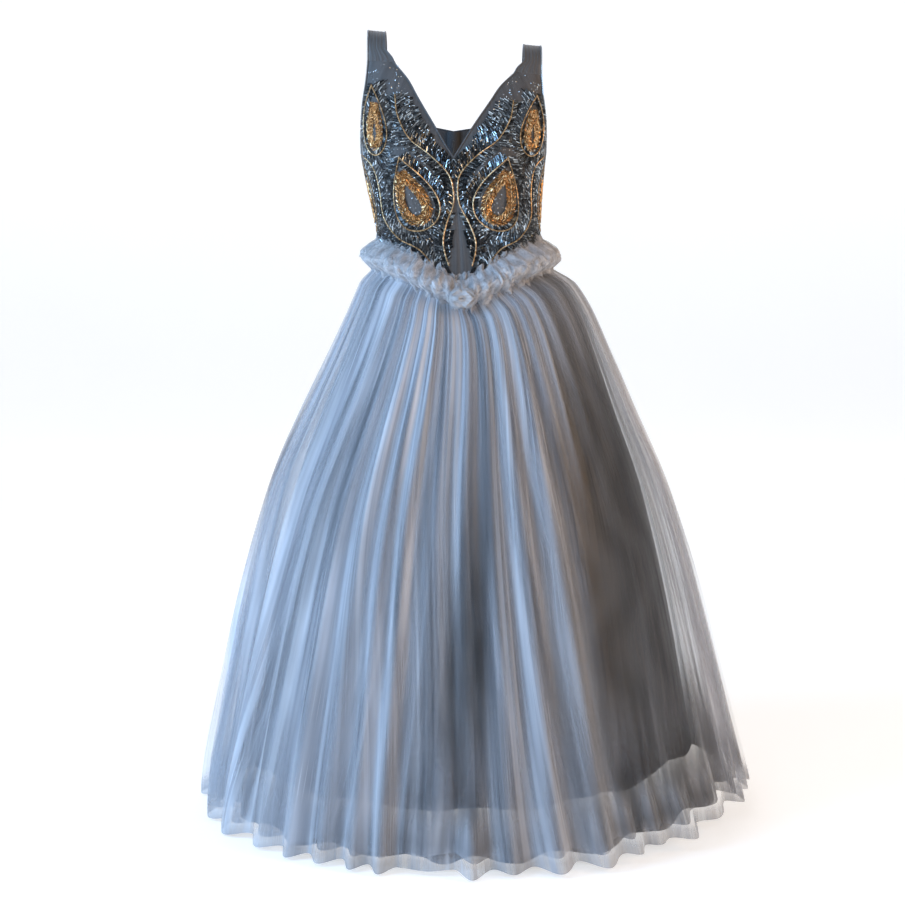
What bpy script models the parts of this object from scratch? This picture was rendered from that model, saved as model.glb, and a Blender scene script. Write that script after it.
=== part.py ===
# Ballroom gown: a V-necked bodice with wide straps, a ruched tulle band along a pointed waist,
# and a gathered tulle skirt over an inner tulle skirt and a shorter lining.
# Metres, +Z up. The front faces -Y, and the wearer's left is at +X.
# The origin is midway between the strap tops, where the straps lie on the shoulders.

import math
import random
from bisect import bisect_right
from collections import namedtuple

import bmesh
import bpy
from mathutils import Matrix, Vector

# Driving dimensions. Heights are above the floor, which the longest hem just reaches.
SHOULDER_HEIGHT = 1.46  # underside of the strap at the top of the shoulder, mean of the two
WAIST_SIDE = 1.063  # waist seam at the sides and back
WAIST_POINT_DROP = 0.071  # the seam's point at the centre front lies this much lower
WAIST_ROUNDING = 0.14
NECK_POINT = 1.237  # bottom of the V neck
ARMHOLE_CORNER = 1.290  # where the shaped seams run into the armhole
UNDERARM = 1.245  # lowest part of the armhole
STRAP_BASE = 1.405  # where the straps are sewn to the bodice, front and back
BACK_NECK = ARMHOLE_CORNER  # back neckline at the centre back
SHOULDER_TILT = 0.09  # rise over run: the strap on the wearer's right lies higher
TILT_START = 1.20

BODICE_CLOTH = 0.002
STRAP_CLOTH = 0.0018
TULLE_CLOTH = 0.0015
SEAM_GAP = 0.0003
WAIST_GAP = 0.0008  # the curved waist seam's two sides have different facets
STEP = 0.0004  # distance over which slopes are measured

STRAP_INNER = 0.130
STRAP_BASE_INNER = 0.113  # the strap narrows from its base
STRAP_NARROWING = 0.14  # over this share of its length from each end
STRAP_OUTER = 0.161
ARMHOLE_X_CORNER = 0.173

Section = namedtuple("Section", "height half_width front back shift power")
BODICE_SECTIONS = (
    Section(0.960, 0.160, 0.124, 0.112, 0.012, 2.2),
    Section(1.063, 0.152, 0.113, 0.100, 0.010, 2.2),
    Section(1.130, 0.156, 0.112, 0.101, 0.005, 2.3),
    Section(1.180, 0.163, 0.118, 0.104, 0.001, 2.3),
    Section(1.237, 0.172, 0.118, 0.108, -0.002, 2.4),
    Section(1.290, 0.177, 0.108, 0.110, -0.002, 2.6),
    Section(1.350, 0.183, 0.090, 0.104, -0.001, 3.0),
    Section(1.405, 0.188, 0.068, 0.088, 0.000, 3.2),
    Section(1.440, 0.190, 0.050, 0.070, 0.000, 3.2),
)

# The cups that the shaped seams and darts give.
CUP_ANGLE = math.radians(36)
CUP_HEIGHT = 1.205
CUP_WIDTH = math.radians(21)
CUP_TALL = 0.052
CUP_DEPTH = 0.020

NeckPoint = namedtuple("NeckPoint", "height half_width")
FRONT_NECK = (
    NeckPoint(NECK_POINT, 0.0),
    NeckPoint(1.270, 0.020),
    NeckPoint(1.300, 0.038),
    NeckPoint(1.347, 0.068),
    NeckPoint(1.376, 0.086),
    NeckPoint(STRAP_BASE, STRAP_BASE_INNER),
)
BACK_NECK_EDGE = (
    NeckPoint(BACK_NECK, 0.0),
    NeckPoint(1.300, 0.052),
    NeckPoint(1.318, 0.084),
    NeckPoint(1.350, 0.105),
    NeckPoint(STRAP_BASE, STRAP_BASE_INNER),
)
ARMHOLE_EDGE = (
    NeckPoint(ARMHOLE_CORNER, ARMHOLE_X_CORNER),
    NeckPoint(1.330, 0.170),
    NeckPoint(1.370, 0.164),
    NeckPoint(STRAP_BASE, STRAP_OUTER),
)

# The shaped seams, front and back: angle from the centre front in degrees, at each height.
SeamPoint = namedtuple("SeamPoint", "height angle")
FRONT_SEAM = (
    SeamPoint(0.990, 33),
    SeamPoint(1.063, 35),
    SeamPoint(1.180, 42),
    SeamPoint(1.237, 52),
    SeamPoint(ARMHOLE_CORNER, None),
)
BACK_SEAM = (
    SeamPoint(0.990, 143),
    SeamPoint(1.063, 142),
    SeamPoint(1.180, 136),
    SeamPoint(1.237, 128),
    SeamPoint(ARMHOLE_CORNER, None),
)

STRAP_STEPS = 14
STRAP_COLUMNS = 3
STRAP_STEP = 0.01  # share of its length over which its slope is measured
STRAP_ROUNDNESS = 0.9  # power of the sine that it rises by

# Rows of the bodice, as heights at the side. The lowest follow the pointed waist.
BODICE_ROWS = (
    WAIST_SIDE, 1.090, 1.118, 1.147, 1.177, 1.207, NECK_POINT,
    1.263, ARMHOLE_CORNER, 1.318, 1.347, 1.376, STRAP_BASE,
)  # fmt: skip
SIDE_ROWS = BODICE_ROWS[: BODICE_ROWS.index(ARMHOLE_CORNER) + 1]
POINT_FADE = 1.5  # power by which the rows above the waist lose its point
ARMHOLE_ROUNDNESS = 2.2
FRONT_COLUMNS = 8
SIDE_COLUMNS = 12
BACK_COLUMNS = 7

# The skirt at each drop below the waist seam, out to the tops of the folds. It swings a little
# to the wearer's left.
Flare = namedtuple("Flare", "drop half_width round_share shift")
SKIRT_FLARE = (
    Flare(0.000, 0.153, 0.72, 0.010),
    Flare(0.035, 0.190, 0.80, 0.020),
    Flare(0.093, 0.226, 0.85, 0.029),
    Flare(0.190, 0.272, 0.89, 0.030),
    Flare(0.304, 0.325, 0.92, 0.027),
    Flare(0.420, 0.378, 0.94, 0.026),
    Flare(0.537, 0.418, 0.96, 0.028),
    Flare(0.655, 0.452, 0.97, 0.031),
    Flare(0.773, 0.482, 0.99, 0.034),
    Flare(0.893, 0.511, 1.01, 0.037),
    Flare(1.013, 0.538, 1.03, 0.042),
    Flare(1.080, 0.543, 1.03, 0.044),
)
SEAM_BLEND = 0.060  # the skirt leaves the seam's own outline over this drop
HEM_RISE = 0.040  # the hem is this much higher at the wearer's left side

# The skirt's layers from the outside in: the height of the hem, how deep the folds are there,
# and how far the next layer's folds stay clear of this one's there.
Layer = namedtuple("Layer", "hem_height fold_depth clearance")
SKIRT_LAYERS = (
    Layer(0.000, 0.034, 0.008),
    Layer(0.035, 0.026, 0.026),
    Layer(0.115, 0.014, 0.000),
)
OUTER, INNER, LINING = range(len(SKIRT_LAYERS))
HEM_LIFT = 0.010  # a hem lifts by this much between its folds
TALLEST_FOLD = 1.2  # no fold's height_share is larger
FOLD_AT_SEAM = 0.12  # share of a fold's depth just under the waist seam
FOLD_START = 0.030  # the folds open over this drop below the seam
LAYER_GAP = 0.002  # the layers part by this much over the same drop

Fold = namedtuple("Fold", "width_deg height_share")
FRONT_FOLDS = (
    Fold(8, 0.9), Fold(6, 0.8), Fold(6, 0.9), Fold(11, 0.3), Fold(8, 1.1),
    Fold(8, 0.7), Fold(9, 1.0), Fold(10, 1.2), Fold(6, 0.5),
)  # fmt: skip
LEFT_FOLDS = (
    Fold(6, 0.4), Fold(10, 1.0), Fold(14, 0.6), Fold(8, 1.1),
    Fold(8, 0.9), Fold(8, 1.1), Fold(8, 0.9), Fold(10, 0.8),
)  # fmt: skip
RIGHT_FOLDS = (
    Fold(12, 0.9), Fold(11, 1.1), Fold(9, 0.8), Fold(10, 0.9),
    Fold(12, 1.1), Fold(11, 1.0), Fold(7, 0.9),
)  # fmt: skip
BACK_SEED = 11
BACK_FOLDS = 7
INNER_FOLDS = 5  # in each quarter
LINING_FOLDS = 3
OUTER_ROWS = (0, 0.022, 0.06, 0.13, 0.24, 0.38, 0.54, 0.70, 0.85, 1.0)
INNER_ROWS = (0, 0.022, 0.06, 0.15, 0.33, 0.54, 0.77, 1.0)
LINING_ROWS = (0, 0.022, 0.06, 0.20, 0.45, 0.72, 1.0)
SAMPLES_A_FOLD = 4

# The ruched band along the waist.
BAND_TOP = 0.021
BAND_BOTTOM = 0.029
BAND_BULGE = 0.027
BAND_WAVE = 0.005
BAND_SCALLOP = 0.003
BAND_WAVES = 20  # on each half
BAND_SAMPLES = 3
BAND_ROWS = 5
BAND_STEP = 0.01  # share of the height over which its slope is measured

# The gathered knot where the band's halves meet.
KNOT_WIDE = 0.030
KNOT_TALL = 0.017
KNOT_DEEP = 0.008
KNOT_PINCH_DEPTH = 0.20  # it is thinner at its middle by these shares
KNOT_PINCH_HEIGHT = 0.28
KNOT_STEPS = 14
KNOT_LENGTHS = 5

# The concealed zip at the centre back: its tapes inside, its slider and pull tab outside.
TAPE_WIDE = 0.024
TAPE_THICK = 0.0012
TAPE_END = 0.955
TAPE_ROWS = 12
TAPE_UNDER_SKIRT = 0.0066  # inside the skirt's three layers at the seam
TAPE_STEP_START = 0.004  # height above the seam
TAPE_STEP_UP = 0.035
TAPE_CLEAR = 0.006  # below the seam the tape hangs this much further in
SLIDER_WIDE = 0.0072
SLIDER_LONG = 0.0095
SLIDER_THICK = 0.0020
SLIDER_BELOW_EDGE = 0.013
EAR_WIDE = 0.0011
EAR_LONG = 0.0030
PIN_OUT = 0.0020  # height of the pin above the slider's face
PIN_RADIUS = 0.0005
RUNNING_GAP = 0.0003
EYE_RADIUS = 0.0016
EYE_BORE = 0.0009
EYE_STEPS = 16
PULL_WIDE = 0.0040
PULL_LONG = 0.022
PULL_THICK = 0.0012
PULL_SWELL = 1.35  # the tab is this much wider at its end
BEVEL_SHARE = 0.18  # of a block's thickness


def ease(share):
    """0 to 1 with level ends."""
    share = min(1.0, max(0.0, share))
    return share * share * (3 - 2 * share)


def read(table, at, column):
    """A smooth curve through one column of a table whose first column rises."""
    keys = [row[0] for row in table]
    values = [getattr(row, column) for row in table]
    at = min(keys[-1], max(keys[0], at))
    i = min(len(keys) - 2, max(0, bisect_right(keys, at) - 1))

    def slope(k):
        low, high = max(0, k - 1), min(len(keys) - 1, k + 1)
        return (values[high] - values[low]) / (keys[high] - keys[low])

    span = keys[i + 1] - keys[i]
    t = (at - keys[i]) / span
    a, b = values[i], values[i + 1]
    return (
        a * (1 + 2 * t) * (1 - t) ** 2
        + slope(i) * span * t * (1 - t) ** 2
        + b * t * t * (3 - 2 * t)
        + slope(i + 1) * span * t * t * (t - 1)
    )


def oval_radius(angle, half_width, front, back, power):
    """Distance from the axis to a rounded oval, at an angle from the front."""
    s, c = abs(math.sin(angle)), math.cos(angle)
    depth = front if c > 0 else back
    return ((s / half_width) ** power + (abs(c) / depth) ** power) ** (-1 / power)


def waist_height(angle):
    """The waist seam dips to a point at the centre front."""
    away = min(1.0, abs(math.sin(angle))) if math.cos(angle) > 0 else 1.0
    rounded = math.hypot(away, WAIST_ROUNDING) - WAIST_ROUNDING * (1 - away)
    return WAIST_SIDE - WAIST_POINT_DROP * (1 - min(1.0, rounded))


def cup(angle, height):
    """Outward swell of the cups."""
    across = (abs(angle) - CUP_ANGLE) / CUP_WIDTH
    up = (height - CUP_HEIGHT) / CUP_TALL
    return CUP_DEPTH * math.exp(-(across * across + up * up) * 0.9)


def bodice_radius(angle, height):
    part = {c: read(BODICE_SECTIONS, height, c) for c in Section._fields[1:]}
    radius = oval_radius(angle, part["half_width"], part["front"], part["back"], part["power"])
    return radius + cup(angle, height)


def tilted(x, y, height):
    """A point of the figure, with the shoulders' tilt, in the gown's own frame."""
    share = ease((height - TILT_START) / (SHOULDER_HEIGHT - TILT_START))
    return Vector((x, y, height - SHOULDER_HEIGHT - x * SHOULDER_TILT * share))


def bodice_point(angle, height):
    radius = bodice_radius(angle, height)
    shift = read(BODICE_SECTIONS, height, "shift")
    return tilted(shift + radius * math.sin(angle), -radius * math.cos(angle), height)


def angle_at(x, height, back=False):
    """The angle where the bodice reaches a distance from its middle line."""
    low, high = (math.pi / 2, math.pi) if back else (0.0, math.pi / 2)
    for _ in range(40):
        middle = (low + high) / 2
        too_far = bodice_radius(middle, height) * math.sin(middle) > x
        if too_far != back:
            high = middle
        else:
            low = middle
    return (low + high) / 2


def seam_angle(seam, height):
    """A shaped seam's angle. It ends at the armhole's corner."""
    back = seam is BACK_SEAM
    corner = math.degrees(angle_at(ARMHOLE_X_CORNER, ARMHOLE_CORNER, back))
    rows = [SeamPoint(p.height, corner if p.angle is None else p.angle) for p in seam]
    return math.radians(read(rows, height, "angle"))


def shifted(angle, height, distance):
    """The angle that lies a distance further round."""
    return angle + distance / bodice_radius(angle, height)


def new_material(name, colour, roughness, metallic=0.0):
    material = bpy.data.materials.new(name)
    material.use_nodes = True
    shader = material.node_tree.nodes["Principled BSDF"]
    shader.inputs["Base Color"].default_value = (*colour, 1.0)
    shader.inputs["Roughness"].default_value = roughness
    shader.inputs["Metallic"].default_value = metallic
    return material


def new_object(name, verts, faces, material):
    mesh = bpy.data.meshes.new(name)
    mesh.from_pydata([tuple(v) for v in verts], [], faces)
    mesh.materials.append(material)
    obj = bpy.data.objects.new(name, mesh)
    bpy.context.scene.collection.objects.link(obj)
    mesh.shade_smooth()
    mesh.set_sharp_from_angle(angle=math.radians(40))
    return obj


def outward(surface, u, v, du, dv):
    """Unit normal of a surface whose u runs from front to wearer's left and v runs up."""
    across = surface(u + du, v) - surface(u - du, v)
    up = surface(u, v + dv) - surface(u, v - dv)
    return across.cross(up).normalized()


def wall(name, material, grid, closed=False):
    """A closed solid between two grids of points: grid[column][row] = (outer, inner)."""
    columns, rows = len(grid), len(grid[0])
    verts = [pair[side] for side in (0, 1) for column in grid for pair in column]

    def at(side, column, row):
        return side * columns * rows + (column % columns) * rows + row

    faces = []
    for i in range(columns if closed else columns - 1):
        for j in range(rows - 1):
            faces.append((at(0, i, j), at(0, i + 1, j), at(0, i + 1, j + 1), at(0, i, j + 1)))
            faces.append((at(1, i, j), at(1, i, j + 1), at(1, i + 1, j + 1), at(1, i + 1, j)))
        faces.append((at(0, i, 0), at(1, i, 0), at(1, i + 1, 0), at(0, i + 1, 0)))
        last = rows - 1
        faces.append((at(0, i, last), at(0, i + 1, last), at(1, i + 1, last), at(1, i, last)))
    if not closed:
        end = columns - 1
        for j in range(rows - 1):
            faces.append((at(0, 0, j), at(0, 0, j + 1), at(1, 0, j + 1), at(1, 0, j)))
            faces.append((at(0, end, j), at(1, end, j), at(1, end, j + 1), at(0, end, j + 1)))
    return new_object(name, verts, faces, material)


def walled(surface, u, v, du, dv, cloth):
    """A pair of points, the surface and the cloth's thickness inside it."""
    point = surface(u, v)
    return point, point - outward(surface, u, v, du, dv) * cloth


def row_height(angle, base):
    """A bodice row's height at an angle: the lowest row follows the waist seam."""
    rise = (base - WAIST_SIDE) / (NECK_POINT - WAIST_SIDE)
    fade = max(0.0, 1 - rise) ** POINT_FADE
    return base + (waist_height(angle) - WAIST_SIDE) * fade


def bodice_pair(angle, height, cloth=BODICE_CLOTH):
    return walled(bodice_point, angle, height, STEP / 0.14, STEP, cloth)


def panel_grid(side, count, rows):
    """Columns of wall points from rows of (start angle, end angle, height at an angle)."""
    columns = [[] for _ in range(count + 1)]
    for start, end, height_at in rows:
        for i, column in enumerate(columns):
            angle = start + (end - start) * i / count
            column.append(bodice_pair(side * angle, height_at(angle)))
    return columns if side > 0 else columns[::-1]


def front_panel(side, material):
    rows = []
    for base in BODICE_ROWS:
        seam = base <= ARMHOLE_CORNER
        if base <= NECK_POINT:
            start = shifted(0.0, base, SEAM_GAP / 2)
        else:
            start = angle_at(read(FRONT_NECK, base, "half_width"), base)
        if seam:
            end = shifted(seam_angle(FRONT_SEAM, base), base, -SEAM_GAP / 2)
        else:
            end = angle_at(read(ARMHOLE_EDGE, base, "half_width"), base)
        top = base == STRAP_BASE
        rows.append((start, end, lambda a, b=base, t=top: row_height(a, b) - SEAM_GAP / 2 * t))
    name = "bodice_front_left" if side > 0 else "bodice_front_right"
    return wall(name, material, panel_grid(side, FRONT_COLUMNS, rows))


def side_top(angle, start, end):
    """The armhole's lower edge, from one shaped seam to the other."""
    share = (angle - start) / (end - start)
    return UNDERARM + (ARMHOLE_CORNER - UNDERARM) * abs(2 * share - 1) ** ARMHOLE_ROUNDNESS


def side_panel(side, material):
    top_start = seam_angle(FRONT_SEAM, ARMHOLE_CORNER)
    top_end = seam_angle(BACK_SEAM, ARMHOLE_CORNER)
    rows = []
    for base in SIDE_ROWS:
        start = seam_angle(FRONT_SEAM, base)
        end = seam_angle(BACK_SEAM, base)

        def height_at(angle, base=base, start=start, end=end):
            share = (angle - start) / (end - start)
            low = waist_height(angle)
            top = side_top(top_start + share * (top_end - top_start), top_start, top_end)
            return low + (row_height(angle, base) - low) * (top - low) / (ARMHOLE_CORNER - low)

        gap = SEAM_GAP / 2
        rows.append((shifted(start, base, gap), shifted(end, base, -gap), height_at))
    name = "bodice_side_left" if side > 0 else "bodice_side_right"
    return wall(name, material, panel_grid(side, SIDE_COLUMNS, rows))


def back_panel(side, material):
    rows = []
    for base in BODICE_ROWS:
        if base <= ARMHOLE_CORNER:
            start = shifted(seam_angle(BACK_SEAM, base), base, SEAM_GAP / 2)
        else:
            start = angle_at(read(ARMHOLE_EDGE, base, "half_width"), base, back=True)
        if base <= BACK_NECK:
            end = shifted(math.pi, base, -SEAM_GAP / 2)
        else:
            end = angle_at(read(BACK_NECK_EDGE, base, "half_width"), base, back=True)
        top = base == STRAP_BASE
        rows.append((start, end, lambda a, b=base, t=top: row_height(a, b) - SEAM_GAP / 2 * t))
    name = "bodice_back_left" if side > 0 else "bodice_back_right"
    return wall(name, material, panel_grid(side, BACK_COLUMNS, rows))


def strap_point(side):
    """A strap's outer side: across from inner to outer edge, and over the shoulder."""
    rise = SHOULDER_HEIGHT + STRAP_CLOTH - STRAP_BASE
    base = STRAP_BASE + SEAM_GAP / 2

    def surface(across, over):
        back = over > 0.5
        near_base = 1 - ease(min(over, 1 - over) / STRAP_NARROWING)
        inner = STRAP_INNER + (STRAP_BASE_INNER - STRAP_INNER) * near_base
        x = inner + (STRAP_OUTER - inner) * across
        angle = angle_at(x, base, back)
        depth = -bodice_radius(angle, base) * math.cos(angle)
        turn = math.pi * over
        y = depth * abs(math.cos(turn))
        return tilted(side * x, y, base + rise * max(0.0, math.sin(turn)) ** STRAP_ROUNDNESS)

    return surface


def strap(side, material):
    surface = strap_point(side)
    grid = []
    for i in range(STRAP_COLUMNS + 1):
        column = []
        for j in range(STRAP_STEPS + 1):
            across, over = i / STRAP_COLUMNS, j / STRAP_STEPS
            here = surface(across, over)
            ahead, behind = min(1.0, over + STRAP_STEP), max(0.0, over - STRAP_STEP)
            along = surface(across, ahead) - surface(across, behind)
            wide = surface(1.0, over) - surface(0.0, over)
            normal = wide.cross(along).normalized() * side
            column.append((here, here - normal * STRAP_CLOTH))
        grid.append(column)
    name = "strap_left" if side > 0 else "strap_right"
    return wall(name, material, grid if side > 0 else grid[::-1])


def uneven_folds(number, count):
    """Uneven folds for a gore that the front view doesn't show."""
    chance = random.Random(BACK_SEED + number)
    return [Fold(chance.uniform(8, 12), chance.uniform(0.7, 1.1)) for _ in range(count)]


def gore_edges(folds, start, width):
    """Where a gore's folds begin and end, in radians."""
    total = sum(f.width_deg for f in folds)
    edges = [start]
    for fold in folds:
        edges.append(edges[-1] + width * fold.width_deg / total)
    return [math.radians(e) for e in edges]


def skirt_gores(layer_folds, start):
    """Gores of one skirt layer, as (edges, folds), side by side all the way round."""
    width = 360 / len(layer_folds)
    return [(gore_edges(f, start + i * width, width), f) for i, f in enumerate(layer_folds)]


def fold_swell(gore, angle):
    """0 in the valley between two folds and up to the fold's share at its top."""
    edges, folds = gore
    i = min(len(folds) - 1, max(0, bisect_right(edges, angle) - 1))
    local = (angle - edges[i]) / (edges[i + 1] - edges[i])
    return folds[i].height_share * (1 - math.cos(2 * math.pi * local)) / 2


def layer_place(depth, reach, drop):
    """How far a layer's fold tops lie inside the outermost ones, and how deep its folds are.

    Each layer lies inside the deepest valleys of the one outside it.
    """
    opening = ease(drop / FOLD_START)
    grow = (FOLD_AT_SEAM + (1 - FOLD_AT_SEAM) * min(1.0, reach)) * opening
    inset = 0.0
    for layer in SKIRT_LAYERS[:depth]:
        inset += layer.fold_depth * grow + TULLE_CLOTH + SEAM_GAP + STEP
        inset += LAYER_GAP * opening + layer.clearance * reach
    return inset, SKIRT_LAYERS[depth].fold_depth * grow


def skirt_point(gore, depth):
    """A skirt layer's outer side: angle round the body, and share up from hem to waist."""
    layer = SKIRT_LAYERS[depth]

    def surface(angle, up):
        seam = waist_height(angle) - WAIST_GAP
        swell = fold_swell(gore, angle) / TALLEST_FOLD
        hem = layer.hem_height + HEM_LIFT * (1 - swell) + HEM_RISE * max(0.0, math.sin(angle)) ** 2
        height = hem + (seam - hem) * up
        drop = seam - height
        reach = drop / seam
        half_width = read(SKIRT_FLARE, drop, "half_width")
        deep = half_width * read(SKIRT_FLARE, drop, "round_share")
        leave = ease(drop / SEAM_BLEND)
        radius = bodice_radius(angle, seam) * (1 - leave)
        radius += oval_radius(angle, half_width, deep, deep, 2.0) * leave
        inset, fold_depth = layer_place(depth, reach, drop)
        radius -= inset + fold_depth * (1 - swell)
        shift = read(BODICE_SECTIONS, seam, "shift")
        shift += (read(SKIRT_FLARE, drop, "shift") - shift) * leave
        place = (shift + radius * math.sin(angle), -radius * math.cos(angle))
        return Vector((*place, height - SHOULDER_HEIGHT))

    return surface


def skirt_crest(angle, height):
    """Where the tallest fold of the outer skirt would reach."""
    edges = (angle - 1.0, angle + 1.0)
    seam = waist_height(angle) - WAIST_GAP
    return skirt_point((edges, (Fold(0, TALLEST_FOLD),)), OUTER)(angle, height / seam)


def skirt_panel(name, material, gore, depth, rows):
    surface = skirt_point(gore, depth)
    edges, folds = gore
    angles = []
    for i in range(len(folds)):
        wide = edges[i + 1] - edges[i]
        angles += [edges[i] + wide * k / SAMPLES_A_FOLD for k in range(SAMPLES_A_FOLD)]
    angles.append(edges[-1])
    grid = []
    for k, angle in enumerate(angles):
        column = []
        for share in reversed(rows):
            radius = surface(angle, 1 - share).to_2d().length
            inward = SEAM_GAP / 2 / radius
            place = angle + inward * (k == 0) - inward * (k == len(angles) - 1)
            column.append(walled(surface, place, 1 - share, STEP / radius, STEP, TULLE_CLOTH))
        grid.append(column)
    return wall(name, material, grid)


def band_point(angle, up):
    """The ruched band's outer side: angle round the waist, and share up from its lower edge."""
    wave = math.cos(angle * 2 * BAND_WAVES + 0.5 * math.sin(3 * angle))
    seam = waist_height(angle)
    low = seam - BAND_BOTTOM - BAND_SCALLOP * wave
    high = seam + BAND_TOP + BAND_SCALLOP * wave
    lower = skirt_crest(angle, low)
    upper = bodice_point(angle, high)
    out = Vector((math.sin(angle), -math.cos(angle), 0))
    clear = SEAM_GAP + TULLE_CLOTH + STEP
    bulge = (BAND_BULGE + BAND_WAVE * wave) * math.sin(math.pi * min(1.0, max(0.0, up)))
    return lower.lerp(upper, up) + out * (clear + bulge)


def band_half(side, material):
    """One half of the band, from the centre front to the centre back."""
    ends = SEAM_GAP / 2 / BODICE_SECTIONS[1].back
    count = BAND_WAVES * BAND_SAMPLES
    grid = []
    for i in range(count + 1):
        angle = side * (ends + (math.pi - 2 * ends) * i / count)
        rows = [j / (BAND_ROWS - 1) for j in range(BAND_ROWS)]
        grid.append([walled(band_point, angle, up, STEP, BAND_STEP, TULLE_CLOTH) for up in rows])
    name = "waist_band_left" if side > 0 else "waist_band_right"
    return wall(name, material, grid if side > 0 else grid[::-1])


def knot(material):
    """A small open loop of tulle that covers the band's join at the waist's point."""
    reach = KNOT_DEEP * (1 - KNOT_PINCH_DEPTH) + SEAM_GAP
    centre = band_point(0.0, 0.5) + Vector((0, -reach, 0))
    grid = []
    for i in range(KNOT_STEPS):
        turn = math.tau * i / KNOT_STEPS
        column = []
        for j in range(KNOT_LENGTHS):
            along = 2 * j / (KNOT_LENGTHS - 1) - 1
            deep = KNOT_DEEP * (1 - KNOT_PINCH_DEPTH * (1 - along * along))
            tall = KNOT_TALL * (1 - KNOT_PINCH_HEIGHT * (1 - along * along))
            place = centre + Vector((KNOT_WIDE / 2 * along, 0, 0))
            round_it = (math.cos(turn), math.sin(turn))
            outer = Vector((0, deep * round_it[0], tall * round_it[1]))
            thin = TULLE_CLOTH
            inner = Vector((0, (deep - thin) * round_it[0], (tall - thin) * round_it[1]))
            column.append((place + outer, place + inner))
        grid.append(column)
    return wall("waist_knot", material, grid, closed=True)


def zip_tape(material):
    """The closed zip's tapes, behind the back panels and on down inside the skirt."""
    grid = []
    for across in (TAPE_WIDE / 2, 0.0, -TAPE_WIDE / 2):
        column = []
        for i in range(TAPE_ROWS):
            height = TAPE_END + (BACK_NECK - TAPE_END) * i / (TAPE_ROWS - 1)
            angle = shifted(math.pi, height, -across)
            outer, inner = bodice_pair(angle, height, 1.0)
            inwards = inner - outer
            above = BODICE_CLOTH + SEAM_GAP
            low = 1 - ease((height - WAIST_SIDE - TAPE_STEP_START) / TAPE_STEP_UP)
            lift = above + (TAPE_UNDER_SKIRT - above) * low
            lift += TAPE_CLEAR * ease((WAIST_SIDE - height) / TAPE_STEP_UP * 2)
            column.append((outer + inwards * lift, outer + inwards * (lift + TAPE_THICK)))
        grid.append(column)
    return wall("zip_tape", material, grid)


def from_bmesh(name, made, material):
    mesh = bpy.data.meshes.new(name)
    made.to_mesh(mesh)
    made.free()
    mesh.materials.append(material)
    obj = bpy.data.objects.new(name, mesh)
    bpy.context.scene.collection.objects.link(obj)
    return obj


def block(name, material, centre, size, turn, end_swell=1.0):
    """A block with bevelled edges, whose lower end may be wider."""
    made = bmesh.new()
    bmesh.ops.create_cube(made, size=1.0)
    for vert in made.verts:
        vert.co = Vector(a * b for a, b in zip(vert.co, size))
        if vert.co.z < 0:
            vert.co.x *= end_swell
    bmesh.ops.bevel(
        made, geom=list(made.edges), offset=min(size) * BEVEL_SHARE, segments=1, affect="EDGES"
    )
    bmesh.ops.transform(made, matrix=Matrix.Translation(centre) @ turn.to_4x4(), verts=made.verts)
    return from_bmesh(name, made, material)


def ring(name, material, centre, outer, inner, wide):
    """A ring whose axis runs across the back."""
    grid = []
    for i in range(EYE_STEPS):
        turn = math.tau * i / EYE_STEPS
        column = []
        for x in (-wide / 2, wide / 2):
            around = Vector((0, math.cos(turn), math.sin(turn)))
            place = centre + Vector((x, 0, 0))
            column.append((place + around * outer, place + around * inner))
        grid.append(column)
    return wall(name, material, grid, closed=True)


def fuse(base, pieces):
    """Boolean union. The pieces stay behind as hidden shapes."""
    for piece in pieces:
        piece.hide_render = True
        piece.display_type = "WIRE"
        union = base.modifiers.new("union", "BOOLEAN")
        union.operation = "UNION"
        union.object = piece
    return base


def zip_hardware(metal):
    """The slider with its two ears, and the pull tab that swings between them."""
    height = BACK_NECK - SLIDER_BELOW_EDGE
    outer, inner = bodice_pair(math.pi, height)
    out = (outer - inner).normalized()
    up = Vector((0, -out.z, out.y)).normalized()
    across = out.cross(up)
    turn = Matrix((across, out, up)).transposed()
    face = outer + out * (SEAM_GAP + SLIDER_THICK)
    pin = face + out * PIN_OUT

    size = (SLIDER_WIDE, SLIDER_THICK, SLIDER_LONG)
    slider = block("zip_slider", metal, face - out * SLIDER_THICK / 2, size, turn)
    ears = []
    ear_tall = PIN_OUT + 2 * PIN_RADIUS + SLIDER_THICK / 2
    for side in (-1, 1):
        beside = side * (PULL_WIDE / 2 + RUNNING_GAP + EAR_WIDE / 2)
        centre = pin + across * beside + out * (2 * PIN_RADIUS - ear_tall / 2)
        ears.append(block("ear", metal, centre, (EAR_WIDE, ear_tall, EAR_LONG), turn))
    ears.append(pin_rod(metal, pin, turn))
    fuse(slider, ears)

    eye = ring("zip_pull", metal, pin, EYE_RADIUS, EYE_BORE, PULL_WIDE)
    overlap = (EYE_RADIUS - EYE_BORE) / 2
    centre = pin - Vector((0, 0, EYE_RADIUS - overlap + PULL_LONG / 2))
    size = (PULL_WIDE, PULL_THICK, PULL_LONG)
    fuse(eye, [block("tab", metal, centre, size, Matrix.Identity(3), PULL_SWELL)])


def pin_rod(metal, pin, turn):
    """The pin that joins the slider's ears."""
    made = bmesh.new()
    long = PULL_WIDE + 2 * RUNNING_GAP + EAR_WIDE
    bmesh.ops.create_cone(
        made, cap_ends=True, segments=EYE_STEPS, radius1=PIN_RADIUS, radius2=PIN_RADIUS, depth=long
    )
    place = Matrix.Translation(pin) @ turn.to_4x4() @ Matrix.Rotation(math.pi / 2, 4, "Y")
    bmesh.ops.transform(made, matrix=place, verts=made.verts)
    return from_bmesh("pin", made, metal)


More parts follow.
